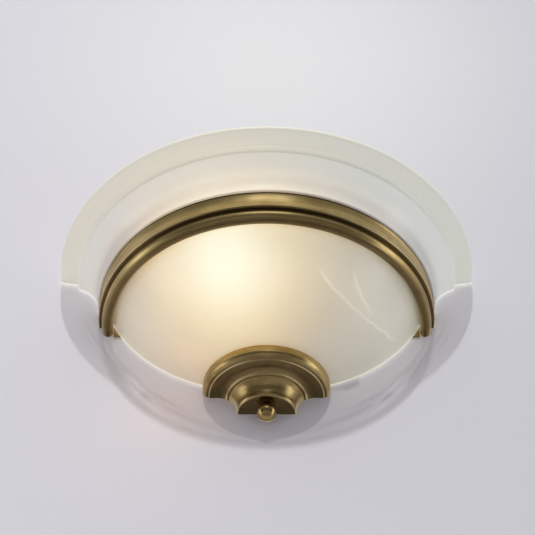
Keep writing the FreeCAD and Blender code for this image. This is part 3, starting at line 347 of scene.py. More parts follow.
def dress(node, material):
    """Gives a CAD piece that keeps its own shape a material."""
    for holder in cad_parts[node].material_slots:
        holder.link = "DATA"
        holder.material = material


dress("wall_plate", plated_metal("plate_brass", BRASS_BRIGHT, BRASS_DARK, 0.36))


# GLASS SHADE
# One pressed half bowl of milky glass with a flared brim, a neck that sits on the ring and a deep bowl,
# ground flat against the wall and notched behind for the rod. The bulb's glow through it, brightest left
# of centre, is painted into the glass as emission.
MM = 0.001
RIM_HEIGHT = 45.0
GLASS_OUTLINE = [
    (0, 121.85), ((26.85, 119.73), (53.7, 113.2)), ((100.9, 84.6), (130.1, 43.0)),
    ((133.17, 37.8), (137.4, 33.3)), (141.0, 33.3), (141.0, 32.0), ((145.98, 16.5), (157.6, 8.0)),
    (159.2, 6.8), (160.4, 1.9), (172.75, 0.0), ((175.0, -2.25), (172.75, -4.5)), (156.95, -2.6),
    (155.6, 4.0), ((142.3, 13.9), (136.5, 30.5)), (129.5, 35.2), (125.96, 41.2),
    ((97.8, 81.3), (52.3, 108.9)), ((26.85, 115.2), (0, 117.35)),
]
GLASS_BACK = 1.8
NOTCH_HALF = 4.5
NOTCH_STEPS = 32
CUT_SIDE, CUT_BEHIND, CUT_SPAN = 200, 10, (-90, 60)
STUD_REACH = 12.0
CREASE_ANGLE = 28
GLASS_PALE = (0.83, 0.81, 0.70)
GLASS_MILKY = (0.77, 0.75, 0.65)
GLASS_BRIM = (0.74, 0.705, 0.54)
GLASS_STEP_SHADE = (0.585, 0.56, 0.43)
RIPPLE_STRENGTH, RIPPLE_DEPTH = 0.06, 0.0006
# The bulb's light through the glass is painted as emission: an even glow, less at the foot and the neck,
# more on the left, above, along the ground back edge and in the veins.
GLOW_EVEN = (0.136, 0.133, 0.099)
GLOW_FOOT = (0.050, 0.045, 0.028)
GLOW_NECK = (0.015, 0.020, 0.040)
GLOW_LEFT = (0.053, 0.017, 0.0)
GLOW_ABOVE = (0.064, 0.095, 0.147)
GLOW_EDGE = (0.30, 0.29, 0.25)
GLOW_VEIN = (0.085, 0.070, 0.045)
# Where these begin and end: by height, by distance from the axis, by width and by depth
BRIM_RISE = (0.034, 0.042)
FOOT_RISE = (-0.072, -0.035)
NECK_RISE, NECK_FALL = (0.0, 0.010), (0.020, 0.029)
ABOVE_RISE = (0.014, 0.036)
STEP_RISE, STEP_FALL = (0.1572, 0.1580), (0.1600, 0.1612)
STEP_FRONT = (-0.150, -0.020)
LEFT_FADE = (-0.17, 0.17)
EDGE_RISE = (-0.0044, -0.0022)
# The bulb's painted glow: a warm halo and a white core, each a centre, a spread and a colour
GLOW_LOBES = [
    ((-0.021, -0.0665, 0.0134), (0.053, 0.054, 0.068), (1.35, 0.80, 0.0)),
    ((-0.026, -0.0850, 0.0052), (0.036, 0.035, 0.051), (0.0, 0.457, 0.863)),
]
# Each vein lies in a slice of the bowl: a point, the slice's normal, its run, start, end and width
VEINS = [
    ((0.0718, -0.0611, -0.0388), (-0.747, 0.602, -0.282), (0.626, 0.780, -0.008), -0.055, 0.062, 0.0017),
    ((0.0721, -0.0769, -0.0344), (0.899, -0.435, -0.050), (0.388, 0.844, -0.370), -0.018, 0.035, 0.0015),
]
VEIN_COLOUR = (0.95, 0.93, 0.86)
VEIN_VEIL, VEIN_SHARE = 0.22, 0.45
CLEAR_FRONT = (0.97, 0.96, 0.95)
CLEAR_BACK = (0.68, 0.66, 0.645)
CLEAR_DEPTH, CLEAR_WIDTH = (-0.085, -0.070), (0.100, 0.125)


def arc_points(start, middle, finish, steps):
    """Points after start along the circle through three points, in (radius, height)."""
    a, b, c = complex(*start), complex(*middle), complex(*finish)
    share = (c - a) / (b - a)
    centre = a + (b - a) * (share - abs(share) ** 2) / (2j * share.imag)
    sweep, through = (cmath.phase((point - centre) / (a - centre)) for point in (c, b))
    if sweep * through < 0 or abs(through) > abs(sweep):
        sweep -= math.copysign(math.tau, sweep)
    points = [centre + (a - centre) * cmath.rect(1, sweep * k / steps) for k in range(1, steps + 1)]
    return [(point.real, point.imag) for point in points]


def outline_points(outline, below_rim=True, arc_step=1.2):
    """An outline's points in metres, from millimetres. A pair of points is an arc's middle and end."""
    points = []
    for step in outline:
        if isinstance(step[0], tuple):
            length = math.dist(points[-1], step[0]) + math.dist(step[0], step[1])
            points += arc_points(points[-1], *step, max(5, round(length / arc_step)))
        else:
            points.append(step)
    if below_rim:
        points = [(r, RIM_HEIGHT - drop) for r, drop in points]
    return [(max(r, 0) * MM, z * MM) for r, z in points]


def metres(place):
    return tuple(c * MM for c in place)


def new_modifier(name, **inputs):
    """A Geometry Nodes tree, likewise."""
    tree, given = new_group(name, inputs, {"Geometry": "Geometry"}, "GeometryNodeTree")
    tree.is_modifier = True
    return tree, given


def geo_node(tree, kind, settings=None, **inputs):
    """Adds a Geometry Nodes node and returns its first output."""
    return add_node(tree, "GeometryNode" + kind, settings, **inputs).outputs[0]


def captured(tree, geometry, kind, label, value):
    """Keeps a value on a geometry. Returns the geometry and the value."""
    keeper = tree.nodes.new("GeometryNodeCaptureAttribute")
    keeper.capture_items.new(kind, label)
    tree.links.new(geometry, keeper.inputs["Geometry"])
    tree.links.new(value, keeper.inputs[1])
    return keeper.outputs[:2]


# The tree that turns an outline about an axis, with softened edges and, where a piece is threaded,
# a helical ridge.
turning, given = new_modifier(
    "turn_about_axis", Geometry="Outline", Int="Steps", Bool="Closed Ends", Vector="Lean, Place",
    Float="Sweep, Edge Radius, Crease, Thread Depth, Thread Pitch, Thread From, Thread To",
    Material="Material",
)
curve = geo_node(turning, "MeshToCurve", Mesh=given["Outline"])
curve = geo_node(turning, "FilletCurve", Curve=curve, Radius=given["Edge Radius"], Limit_Radius=True)
position = geo_node(turning, "InputPosition")
outline, outline_place = captured(turning, curve, "VECTOR", "Outline Place", position)
path = geo_node(turning, "CurvePrimitiveLine", End=(0.0, 0.0, 1.0))
path = geo_node(turning, "ResampleCurve", Curve=path, Count=given["Steps"])
along = add_node(turning, "GeometryNodeSplineParameter").outputs["Factor"]
path, turned_share = captured(turning, path, "FLOAT", "Turned Share", along)
prism = geo_node(
    turning, "CurveToMesh", Curve=path, Profile_Curve=outline, Fill_Caps=given["Closed Ends"]
)
angle = product(turning, turned_share, given["Sweep"])
across = parts_of(turning, outline_place)
radius, height = across["X"], across["Y"]
pitches = math_node(turning, "DIVIDE", height, given["Thread Pitch"])
pitches = math_node(turning, "ADD", pitches, math_node(turning, "DIVIDE", angle, math.tau))
ridge = math_node(turning, "COSINE", product(turning, pitches, math.tau))
full_from = math_node(turning, "ADD", given["Thread From"], given["Thread Pitch"])
full_to = math_node(turning, "SUBTRACT", given["Thread To"], given["Thread Pitch"])
run_in = ramp(turning, height, given["Thread From"], full_from)
run_out = fade(turning, height, full_to, given["Thread To"])
lift = product(turning, ridge, given["Thread Depth"])
lift = product(turning, lift, product(turning, run_in, run_out))
radius = math_node(turning, "ADD", radius, lift)
x = product(turning, radius, math_node(turning, "COSINE", angle))
y = product(turning, product(turning, radius, math_node(turning, "SINE", angle)), -1.0)
bent = add_node(turning, "ShaderNodeCombineXYZ", X=x, Y=y, Z=height).outputs[0]
shape = geo_node(turning, "SetPosition", Geometry=prism, Position=bent)
shape = geo_node(turning, "MergeByDistance", Geometry=shape, Distance=1e-6)
shape = geo_node(
    turning, "Transform", Geometry=shape, Rotation=given["Lean"], Translation=given["Place"]
)
shape = geo_node(turning, "SetShadeSmooth", {"domain": "FACE"}, Geometry=shape)
bend = add_node(turning, "GeometryNodeInputMeshEdgeAngle").outputs["Unsigned Angle"]
sharp = add_node(turning, "FunctionNodeCompare", {"operation": "GREATER_THAN"}, A=bend, B=given["Crease"])
shape = geo_node(
    turning, "SetShadeSmooth", {"domain": "EDGE"}, Geometry=shape, Selection=sharp.outputs[0],
    Shade_Smooth=False,
)
shape = geo_node(turning, "SetMaterial", Geometry=shape, Material=given["Material"])
add_node(turning, "NodeGroupOutput", Geometry=shape)


def kept_mesh(maker, modifier):
    """Keeps what an object's modifier makes as its plain mesh, and takes the modifier off."""
    shown = maker.evaluated_get(bpy.context.evaluated_depsgraph_get())
    plain = bpy.data.meshes.new_from_object(shown)
    maker.modifiers.remove(modifier)
    maker.data = plain
    plain.name = maker.name


def run_tree(name, mesh, tree, **inputs):
    """Puts a mesh through a Geometry Nodes tree and keeps the result as a plain mesh object."""
    maker = new_object(name, mesh)
    modifier = maker.modifiers.new(tree.name, "NODES")
    modifier.node_group = tree
    for key, value in inputs.items():
        modifier[tree.interface.items_tree[key.replace("_", " ")].identifier] = value
    kept_mesh(maker, modifier)
    return maker


def turned_piece(name, points, material, loop=False, **inputs):
    """A turned piece from outline points in metres. A loop closes on itself, else it ends on the axis."""
    area = sum(a[0] * b[1] - b[0] * a[1] for a, b in zip(points, points[1:] + points[:1]))
    if area < 0:
        points = points[::-1]
    count = len(points)
    edges = [(k, k + 1) for k in range(count - 1)] + ([(count - 1, 0)] if loop else [])
    mesh = new_mesh(name, [(r, z, 0) for r, z in points], edges)
    inputs = {"Sweep": math.tau, "Crease": math.radians(CREASE_ANGLE), "Thread_Pitch": MM, **inputs}
    return run_tree(name, mesh, turning, Material=material, **inputs)


def half_piece(name, outline, material, edge=0.0002, steps=192, arc_step=1.2):
    """A half-round piece, closed where it meets the wall."""
    return turned_piece(
        name, outline_points(outline, arc_step=arc_step), material, loop=True, Steps=steps,
        Sweep=math.pi, Closed_Ends=True, Edge_Radius=edge,
    )


def cut_away(piece, mesh):
    """Cuts a closed mesh out of a piece."""
    cutter = new_object("cutter", mesh)
    modifier = piece.modifiers.new("cut", "BOOLEAN")
    modifier.operation = "DIFFERENCE"
    modifier.solver = "EXACT"
    modifier.object = cutter
    kept_mesh(piece, modifier)
    bpy.data.objects.remove(cutter)


def cut_prism(piece, outline, low, high):
    """Cuts out an upright prism over an outline that runs against the clock, in millimetres."""
    count = len(outline)
    corners = [metres((x, y, z)) for z in (low, high) for x, y in outline]
    sides = [(k, (k + 1) % count, (k + 1) % count + count, k + count) for k in range(count)]
    ends = [tuple(range(count))[::-1], tuple(range(count, 2 * count))]
    cut_away(piece, new_mesh("prism", corners, faces=sides + ends))


def dress_up(piece, body, node):
    """Says which body a piece moves with, and hides the CAD node it stands for."""
    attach(piece, body)
    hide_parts(node)


# Marbling: slow clouds that curl. It puts out a mask and a height.
marbling, given = new_group(
    "marbling", {"Vector": "Place", "Float": "Scale, Curl"}, {"Float": "Cloud, Height"}
)
stirred = noise(marbling, given["Place"], given["Scale"], 3.0, output="Color")
centred = vector_node(marbling, "SUBTRACT", stirred, (0.5, 0.5, 0.5))
pulled = vector_node(marbling, "SCALE", centred, Scale=given["Curl"])
swirled = vector_node(marbling, "ADD", given["Place"], pulled)
clouds = noise(marbling, swirled, given["Scale"], 4.0, 0.55)
add_node(marbling, "NodeGroupOutput", Cloud=ramp(marbling, clouds, 0.34, 0.68), Height=clouds)

# One vein: a thin wavering line where the bowl meets a slice, fading in and out along its run.
veining, given = new_group(
    "vein", {"Vector": "Place, Point, Normal, Run", "Float": "Start, End, Width"}, {"Float": "Line, Veil"}
)
offset = vector_node(veining, "SUBTRACT", given["Place"], given["Point"])
aside = vector_node(veining, "DOT_PRODUCT", offset, given["Normal"])
aside = wavering(veining, noise(veining, given["Place"], 34.0, 3.0), 0.012, aside)
onward = vector_node(veining, "DOT_PRODUCT", offset, given["Run"])
line = fade(veining, math_node(veining, "ABSOLUTE", aside), 0.0, given["Width"])
veil = ramp(veining, aside, product(veining, given["Width"], -14.0), 0.0)
veil = product(veining, veil, math_node(veining, "LESS_THAN", aside, 0.0))
fade_in = ramp(veining, onward, given["Start"], math_node(veining, "ADD", given["Start"], 0.012))
fade_out = fade(veining, onward, math_node(veining, "SUBTRACT", given["End"], 0.02), given["End"])
within = product(veining, fade_in, fade_out)
add_node(
    veining, "NodeGroupOutput", Line=product(veining, line, within), Veil=product(veining, veil, within)
)


def between(tree, value, rise, fall):
    """1 where a value lies between a rise and a fall, each given by where it begins and ends."""
    return product(tree, ramp(tree, value, *rise), fade(tree, value, *fall))


def axis_distance(tree, place):
    """How far a place is from the upright axis."""
    return vector_node(tree, "LENGTH", vector_node(tree, "MULTIPLY", place, (1.0, 1.0, 0.0)))


def falloff(tree, place, centre, spread):
    """A soft lobe that is 1 at its centre and falls off by the spread in each direction."""
    scaled = vector_node(tree, "DIVIDE", vector_node(tree, "SUBTRACT", place, centre), spread)
    squared = vector_node(tree, "DOT_PRODUCT", scaled, scaled)
    return math_node(tree, "EXPONENT", product(tree, squared, -1.0))


def lamps_shine_through(tree, clearness):
    """Lets rays from lamps pass in part, because the picture shows pale shadows."""
    see_through(tree, ray_fact(tree, "Is Shadow Ray"), clearness)


alabaster, tree, shader = new_material(
    "alabaster_glass", Emission_Strength=1.0, Roughness=0.36, Coat_Weight=0.25, Coat_Roughness=0.15
)
place = own_place(tree)
parts = parts_of(tree, place)
swirl = use_group(tree, marbling, place, Scale=9.0, Curl=0.10).outputs
milk = mix_colours(tree, swirl["Cloud"], GLASS_MILKY, GLASS_PALE)
milk = mix_colours(tree, ramp(tree, parts["Z"], *BRIM_RISE), milk, GLASS_BRIM)
# The small step under the brim catches the lamp above. Painted shade darkens it in front, so that it is
# no brighter than the brim.
shaded_step = between(tree, axis_distance(tree, place), STEP_RISE, STEP_FALL)
shaded_step = product(tree, shaded_step, fade(tree, parts["Y"], *STEP_FRONT))
milk = mix_colours(tree, shaded_step, milk, GLASS_STEP_SHADE)
glow = mix_colours(tree, ramp(tree, parts["Z"], *FOOT_RISE), GLOW_FOOT, GLOW_EVEN)
glow = mix_colours(tree, between(tree, parts["Z"], NECK_RISE, NECK_FALL), glow, GLOW_NECK)
for share, colour in (
    (fade(tree, parts["X"], *LEFT_FADE), GLOW_LEFT),
    (ramp(tree, parts["Z"], *ABOVE_RISE), GLOW_ABOVE),
    (ramp(tree, parts["Y"], *EDGE_RISE), GLOW_EDGE),
    *((falloff(tree, place, centre, spread), colour) for centre, spread, colour in GLOW_LOBES),
):
    glow = mix_colours(tree, share, glow, colour, "ADD")
lines = 0.0
for point, normal, run, start, end, width in VEINS:
    vein = use_group(
        tree, veining, place, Point=point, Normal=normal, Run=run, Start=start, End=end, Width=width
    ).outputs
    seen = math_node(tree, "MULTIPLY_ADD", vein["Veil"], VEIN_VEIL, vein["Line"])
    lines = math_node(tree, "MAXIMUM", seen, lines)
veined = mix_colours(tree, product(tree, lines, VEIN_SHARE), milk, VEIN_COLOUR)
tree.links.new(veined, shader.inputs["Base Color"])
tree.links.new(mix_colours(tree, lines, glow, GLOW_VEIN, "ADD"), shader.inputs["Emission Color"])
relief(tree, shader, RIPPLE_STRENGTH, RIPPLE_DEPTH, swirl["Height"])
middle = fade(tree, math_node(tree, "ABSOLUTE", parts["X"]), *CLEAR_WIDTH)
middle = product(tree, fade(tree, parts["Y"], *CLEAR_DEPTH), middle)
lamps_shine_through(tree, mix_colours(tree, middle, CLEAR_BACK, CLEAR_FRONT))

glass = half_piece("glass_bowl", GLASS_OUTLINE, alabaster, edge=0.0005, arc_step=2.0)
notch = [
    (-NOTCH_HALF * math.cos(turn), -STUD_REACH - NOTCH_HALF * math.sin(turn))
    for turn in (math.pi * k / NOTCH_STEPS for k in range(NOTCH_STEPS + 1))
]
ground_off = [(-CUT_SIDE, CUT_BEHIND), (-CUT_SIDE, -GLASS_BACK), (-NOTCH_HALF, -GLASS_BACK)]
ground_off += notch + [(-x, y) for x, y in reversed(ground_off)]
cut_prism(glass, ground_off, *CUT_SPAN)
dress_up(glass, "fixture", "glass_shade")


# BRASS HALF RING
# A cast half ring, antiqued and brushed round its length: a hollow-faced band, a dark groove and a round
# bead whose lip turns in under the bowl. A small boss behind each end takes a screw.
RING_OUTLINE = [
    (137.2, 33.6), (139.2, 33.6), (139.6, 34.0), ((138.4, 41.3), (139.6, 48.6)), (139.2, 49.0),
    (138.4, 49.4), (135.7, 49.4), (135.7, 50.2), (136.4, 51.4), ((134.99, 57.06), (131.19, 59.4)),
    ((128.74, 58.32), (127.1, 55.8)), (127.7, 55.2), (131.19, 58.2), (134.0, 51.4), (134.0, 49.0),
    (137.2, 47.8),
]
RING_HOLLOWS = [(-0.0062, -0.0042), (0.0100, 0.0130)]
RING_EDGES = [(139.4, 48.8), (136.2, 51.0)]
BOSS_PLACES = [(134.2, 0.0, 2.0), (-134.2, 0.0, 2.0)]
BOSS_RADIUS = 2.5
BOSS_START, BOSS_END = 1.5, 13.5
TO_FRONT = (math.radians(90), 0.0, 0.0)
BRASS_SHADE_AND_PATINA = (0.100, 0.064, 0.026)
BRASS_WORN_HIGHLIGHT = (0.76, 0.63, 0.34)
UNDERSIDE_SHADE = 0.80
HOLLOW_BLUR = 0.0003
WEAR_HIGHLIGHT_WIDTH = 0.0008
RING_CLEARNESS = (0.80, 0.79, 0.78)

# Brushing: fine streaks that run round an upright axis, with slow patina, and a darker tone where it is
# given: painted shade on undersides, patina and painted shade in hollows. It puts out a colour, a
# roughness and a height.
brushing, given = new_group(
    "brushed_round_axis",
    {"Vector": "Place", "Color": "Bright, Dark, Aged", "Float": "Age, Streaks, Roughness"}, FINISH,
)
parts = parts_of(brushing, given["Place"])
bearing = math_node(brushing, "ARCTAN2", parts["Y"], parts["X"])
lane = add_node(
    brushing, "ShaderNodeCombineXYZ", Y=product(brushing, bearing, 4.0),
    X=product(brushing, axis_distance(brushing, given["Place"]), given["Streaks"]),
    Z=product(brushing, parts["Z"], given["Streaks"]),
).outputs[0]
streak = noise(brushing, lane, 1.0, 3.0, 0.7)
patina = noise(brushing, given["Place"], 26.0, 3.0, 0.55)
blend = math_node(brushing, "MULTIPLY_ADD", streak, 0.6, product(brushing, patina, 0.4))
blend = ramp(brushing, blend, 0.36, 0.62, kind="LINEAR")
toned = mix_colours(brushing, blend, given["Dark"], given["Bright"])
toned = mix_colours(brushing, given["Age"], toned, given["Aged"])
rough = wavering(brushing, patina, -0.2, given["Roughness"])
add_node(brushing, "NodeGroupOutput", Color=toned, Roughness=rough, Height=streak)

# Rubbing: how far the antiquing is worn off near an edge round the same axis, plus a painted highlight;
# both are weaker in front.
rubbing_highlight, given = new_group("rubbed_edge", {"Vector": "Place, Edge", "Float": "Width"}, {"Float": "Wear"})
parts = parts_of(rubbing_highlight, given["Place"])
radius = axis_distance(rubbing_highlight, given["Place"])
across = add_node(rubbing_highlight, "ShaderNodeCombineXYZ", X=radius, Z=parts["Z"]).outputs[0]
uneven = math_node(rubbing_highlight, "ADD", noise(rubbing_highlight, given["Place"], 90.0, 2.0), 0.5)
reach = product(rubbing_highlight, vector_node(rubbing_highlight, "DISTANCE", across, given["Edge"]), uneven)
wear_and_highlight = ramp(rubbing_highlight, math_node(rubbing_highlight, "DIVIDE", reach, given["Width"]), 0.3, 1.0, 0.7, 0.0)
sideways = math_node(rubbing_highlight, "DIVIDE", math_node(rubbing_highlight, "ABSOLUTE", parts["X"]), radius)
side_highlight = ramp(rubbing_highlight, sideways, 0.10, 0.50, 0.15, 1.0)
add_node(rubbing_highlight, "NodeGroupOutput", Wear=product(rubbing_highlight, wear_and_highlight, side_highlight))


def brushed_metal(
    name, bright, dark, roughness, aged=None, streaks=1500.0, strength=0.2, centre=(0.0, 0.0, 0.0),
    below=-0.80, hollows=(), edges=(),
):
    """A metal brushed round an upright axis through centre. It is darker on undersides, by painted shade,
    and in hollows (from, to), by patina and painted shade, and rubbed bright along the edges, by wear and
    a painted highlight, each given as a radius and a drop."""
    settings = {
        "Bright": bright, "Dark": dark, "Aged": aged or dark, "Streaks": streaks, "Roughness": roughness,
    }
    material, tree, shader, finish = finished(name, brushing, strength, settings, centre, Metallic=1.0)
    # Painted shade: undersides take the darker colour, the more the further they face down.
    upward = parts_of(tree, add_node(tree, "ShaderNodeTexCoord").outputs["Normal"])["Z"]
    shade_and_patina = ramp(tree, upward, -0.99, below, UNDERSIDE_SHADE if aged else 0.0, 0.0)
    level = parts_of(tree, own_place(tree))["Z"]
    # Patina and painted shade darken the hollows.
    for ends in hollows:
        rise, fall = ((end - HOLLOW_BLUR, end + HOLLOW_BLUR) for end in ends)
        shade_and_patina = math_node(tree, "MAXIMUM", shade_and_patina, between(tree, level, rise, fall))
    tree.links.new(shade_and_patina, finish.inputs["Age"])
    place, colour = finish.inputs["Place"].links[0].from_socket, finish.outputs["Color"]
    # Worn edges with a painted highlight, brighter at the sides than in front.
    for radius, drop in edges:
        edge = metres((radius, 0.0, RIM_HEIGHT - drop))
        rubbed = use_group(tree, rubbing_highlight, place, Edge=edge, Width=WEAR_HIGHLIGHT_WIDTH)
        colour = mix_colours(tree, rubbed.outputs["Wear"], colour, BRASS_WORN_HIGHLIGHT)
    tree.links.new(colour, shader.inputs["Base Color"])
    return material


def solid(name, outline, material, steps=49, loop=False, edge=0.00008, arc_step=0.5, **inputs):
    """A small turned piece from an outline of radius and height in millimetres."""
    points = outline_points(outline, False, arc_step)
    return turned_piece(name, points, material, loop=loop, Steps=steps, Edge_Radius=edge, **inputs)


def plain_outline(radius, low, high):
    """The outline of a plain cylinder."""
    return [(0, low), (radius, low), (radius, high), (0, high)]


ring_brass = brushed_metal(
    "ring_brass", BRASS_BRIGHT, BRASS_DARK, 0.33, BRASS_SHADE_AND_PATINA, below=-0.35,
    hollows=RING_HOLLOWS, edges=RING_EDGES,
)
lamps_shine_through(ring_brass.node_tree, RING_CLEARNESS)
ring = half_piece("brass_ring", RING_OUTLINE, ring_brass, edge=0.0003)
boss_outline = plain_outline(BOSS_RADIUS, BOSS_START, BOSS_END)
pieces = [ring] + [
    solid("boss", boss_outline, ring_brass, steps=33, edge=0.0002, Lean=TO_FRONT, Place=metres(place))
    for place in BOSS_PLACES
]
with bpy.context.temp_override(active_object=ring, object=ring, selected_editable_objects=pieces):
    bpy.ops.object.join()
dress_up(ring, "fixture", "ring_band")


# GLASS SPACERS
# Three small silicone blocks that keep the glass off the ring. They keep their CAD shape.
SILICONE_CLEARNESS = (0.95, 0.95, 0.95)

# Fine grain: an even, slightly mottled surface for plastics, rubber and ceramic.
graining, given = new_group(
    "fine_grain", {"Vector": "Place", "Color": "Colour, Shade", "Float": "Scale, Roughness"}, FINISH
)
specks = noise(graining, given["Place"], given["Scale"], 3.0, 0.6)
mottle = noise(graining, given["Place"], 60.0, 2.0)
toned = mix_colours(graining, ramp(graining, mottle, 0.3, 0.7), given["Shade"], given["Colour"])
rough = wavering(graining, specks, 0.2, given["Roughness"])
add_node(graining, "NodeGroupOutput", Color=toned, Roughness=rough, Height=specks)


def grained(name, colour, shade, roughness, strength=0.1, **inputs):
    """A material with fine grain. More inputs go to the shader."""
    settings = {"Colour": colour, "Shade": shade, "Scale": 900.0, "Roughness": roughness}
    return finished(name, graining, strength, settings, **inputs)[0]


silicone = grained("silicone", (0.78, 0.79, 0.78), (0.70, 0.71, 0.71), 0.5, 0.05, Subsurface_Weight=0.3)
lamps_shine_through(silicone.node_tree, SILICONE_CLEARNESS)
dress("glass_spacers", silicone)


# RING SCREWS
# Two countersunk screws with crossed recesses, driven from behind through the plate's ears.
SCREW_OUTLINE = [(0, 0), (2.1, 0), (2.1, 0.15), (1.2, 1.3), (1.2, 9.4), (0.9, 10), (0, 10)]
SLOT_HALF = 0.3
RECESS_REACH = 1.3
RECESS_DEPTH = 0.9

# The tree that sets one piece out at several places, all leaning the same way.
setting, given = new_modifier(
    "set_out", Geometry="Places", Object="Piece", Vector="Lean", Material="Material"
)
pattern = add_node(setting, "GeometryNodeObjectInfo", Object=given["Piece"]).outputs["Geometry"]
pattern = geo_node(setting, "Transform", Geometry=pattern, Rotation=given["Lean"])
shape = geo_node(setting, "InstanceOnPoints", Points=given["Places"], Instance=pattern)
shape = geo_node(setting, "RealizeInstances", Geometry=shape)
shape = geo_node(setting, "SetMaterial", Geometry=shape, Material=given["Material"])
add_node(setting, "NodeGroupOutput", Geometry=shape)
zinc = plated_metal("zinc_steel", (0.66, 0.68, 0.70), (0.44, 0.46, 0.49), 0.34, grain=900.0)


def set_out(name, node, piece, places, lean=TO_FRONT, material=zinc):
    """Copies of a piece at places in millimetres, as one object of the fixture. The piece itself goes."""
    mesh = new_mesh(name, [metres(place) for place in places])
    laid = run_tree(name, mesh, setting, Piece=piece, Lean=lean, Material=material)
    bpy.data.objects.remove(piece)
    dress_up(laid, "fixture", node)


def cut_slot(piece, reach, low, high, crossed=False):
    """Cuts a screw's slot, or its crossed recess, between two heights."""
    for x, y in ((reach, SLOT_HALF), (SLOT_HALF, reach))[:2 if crossed else 1]:
        cut_prism(piece, [(-x, -y), (x, -y), (x, y), (-x, y)], low, high)


screw = solid("screw", SCREW_OUTLINE, zinc)
cut_slot(screw, RECESS_REACH, -1, RECESS_DEPTH, crossed=True)
set_out("screws_of_ring", "ring_screws", screw, BOSS_PLACES)


# DROP ARM
# A bent steel strap that carries the rod, on two dome-headed rivets. The strap keeps its CAD shape.
RIVET_OUTLINE = [(0, 0), (1.6, 0), (1.6, 3.0), (3.0, 3.0), ((2.2, 4.05), (0, 4.5))]


def riveted(name, node, places):
    set_out(name, node, solid("rivet", RIVET_OUTLINE, zinc, edge=0.00005, arc_step=0.25), places)


dress("drop_arm", zinc)
riveted("rivets_of_arm", "drop_arm_rivets", [(0, 0, -6.5), (0, 0, 6.5)])


# THREADED ROD
# A zinc-plated rod with a full-length thread, from the strap down into the knob.
ROD_LOW, ROD_HIGH = -107.6, -51.8
ROD_END, ROD_RADIUS = 2.4, 2.72
ROD_CHAMFER = 0.6
ROD_AXIS = metres((0.0, -STUD_REACH, 0.0))
THREAD_STEP = 0.125
THREAD_DEPTH, THREAD_PITCH = 0.27, 1.0


def climb(radius, low, high, step):
    """Outline points up a thread, near enough to each other to carry it."""
    return [(radius, low + step * k) for k in range(round((high - low) / step) + 1)]


def threaded(name, outline, material, depth, pitch, low, high, **inputs):
    """A small turned piece with a thread, in millimetres."""
    return solid(
        name, outline, material, edge=0.0, Thread_Depth=depth * MM, Thread_Pitch=pitch * MM,
        Thread_From=low * MM, Thread_To=high * MM, **inputs,
    )


rod_outline = [
    (0, ROD_LOW), (ROD_END, ROD_LOW),
    *climb(ROD_RADIUS, ROD_LOW + ROD_CHAMFER, ROD_HIGH - ROD_CHAMFER, THREAD_STEP),
    (ROD_END, ROD_HIGH), (0, ROD_HIGH),
]
rod = threaded(
    "threaded_rod", rod_outline, zinc, THREAD_DEPTH, THREAD_PITCH, ROD_LOW, ROD_HIGH,
    steps=37, Place=ROD_AXIS,
)
dress_up(rod, "fixture", "finial_stud")


# ROD NUTS
# Two hexagon nuts with chamfered corners hold the rod on its strap.
NUT_STEP = 5
NUT_CREASE = 20
NUT_FACE = 0.95


def hexagon_nut(flats, height, bore):
    """A hexagon nut in millimetres, its corners taken down by a 30 degree chamfer at both ends."""
    verts, faces = [], []
    turns = range(0, 360, NUT_STEP)
    face_radius = flats / 2 * NUT_FACE
    for bearing in turns:
        from_flat = math.radians((bearing + 30) % 60 - 30)
        corner = flats / 2 / math.cos(from_flat)
        drop = (corner - face_radius) * math.tan(math.radians(30))
        lower = [(bore, 0), (face_radius, 0), (corner, drop)]
        profile = lower + [(r, height - z) for r, z in reversed(lower)]
        c, s = math.cos(math.radians(bearing)), math.sin(math.radians(bearing))
        verts += [metres((r * c, r * s, z)) for r, z in profile]
    for k in range(len(turns)):
        here, after = k * 6, (k + 1) % len(turns) * 6
        faces += [(here + p, after + p, after + (p + 1) % 6, here + (p + 1) % 6) for p in range(6)]
    mesh = new_mesh("nut", verts, faces=faces)
    mesh.shade_smooth()
    mesh.set_sharp_from_angle(angle=math.radians(NUT_CREASE))
    mesh.materials.append(zinc)
    return new_object("nut", mesh)


nut = hexagon_nut(10.0, 5.0, 3.05)
nut_places = [(0, -STUD_REACH, level) for level in (-68.3, -61.8)]
set_out("nuts_of_rod", "stud_nuts", nut, nut_places, (0.0, 0.0, 0.0))


# CLAMP WASHER AND PAD
# A steel washer over a silicone pad holds the foot of the bowl. Both keep their CAD shapes.
dress("clamp_washer", zinc)
dress("clamp_pad", silicone)


# BOTTOM CAP
# A spun brass half shell in three tiers that hides the rod and the foot of the bowl.
CAP_OUTLINE = [
    (49.7, 113.7), (51.3, 114.2), (51.3, 118.8), ((50.3, 122.5), (46.3, 124.6)), (45.5, 125.1),
    (37.7, 125.1), ((35.3, 125.67), (32.0, 127.0)), (31.3, 127.7), (30.2, 127.7),
    ((25.86, 132.38), (24.0, 139.4)), ((23.6, 141.29), (22.4, 142.1)), (0, 142.1), (0, 140.5),
    (20.8, 140.5), (22.4, 139.4), ((24.26, 131.58), (28.6, 126.1)), (30.4, 125.4), (36.1, 123.5),
    (44.7, 123.5), (49.7, 117.8),
]
CAP_EDGES = [(46.1, 124.8), (32.4, 126.8), (23.2, 141.6)]
CAP_BORE = 3.3
cap_brass = brushed_metal(
    "cap_brass", BRASS_BRIGHT, BRASS_DARK, 0.30, BRASS_SHADE_AND_PATINA, 1100.0, 0.12, edges=CAP_EDGES
)
cap = half_piece("brass_cap", CAP_OUTLINE, cap_brass, edge=0.0004, steps=128)
bore = solid("bore", plain_outline(CAP_BORE, -105, -85), cap_brass, edge=0.0, Place=ROD_AXIS)
cut_away(cap, bore.data)
bpy.data.objects.remove(bore)
dress_up(cap, "cap", "bottom_cap")


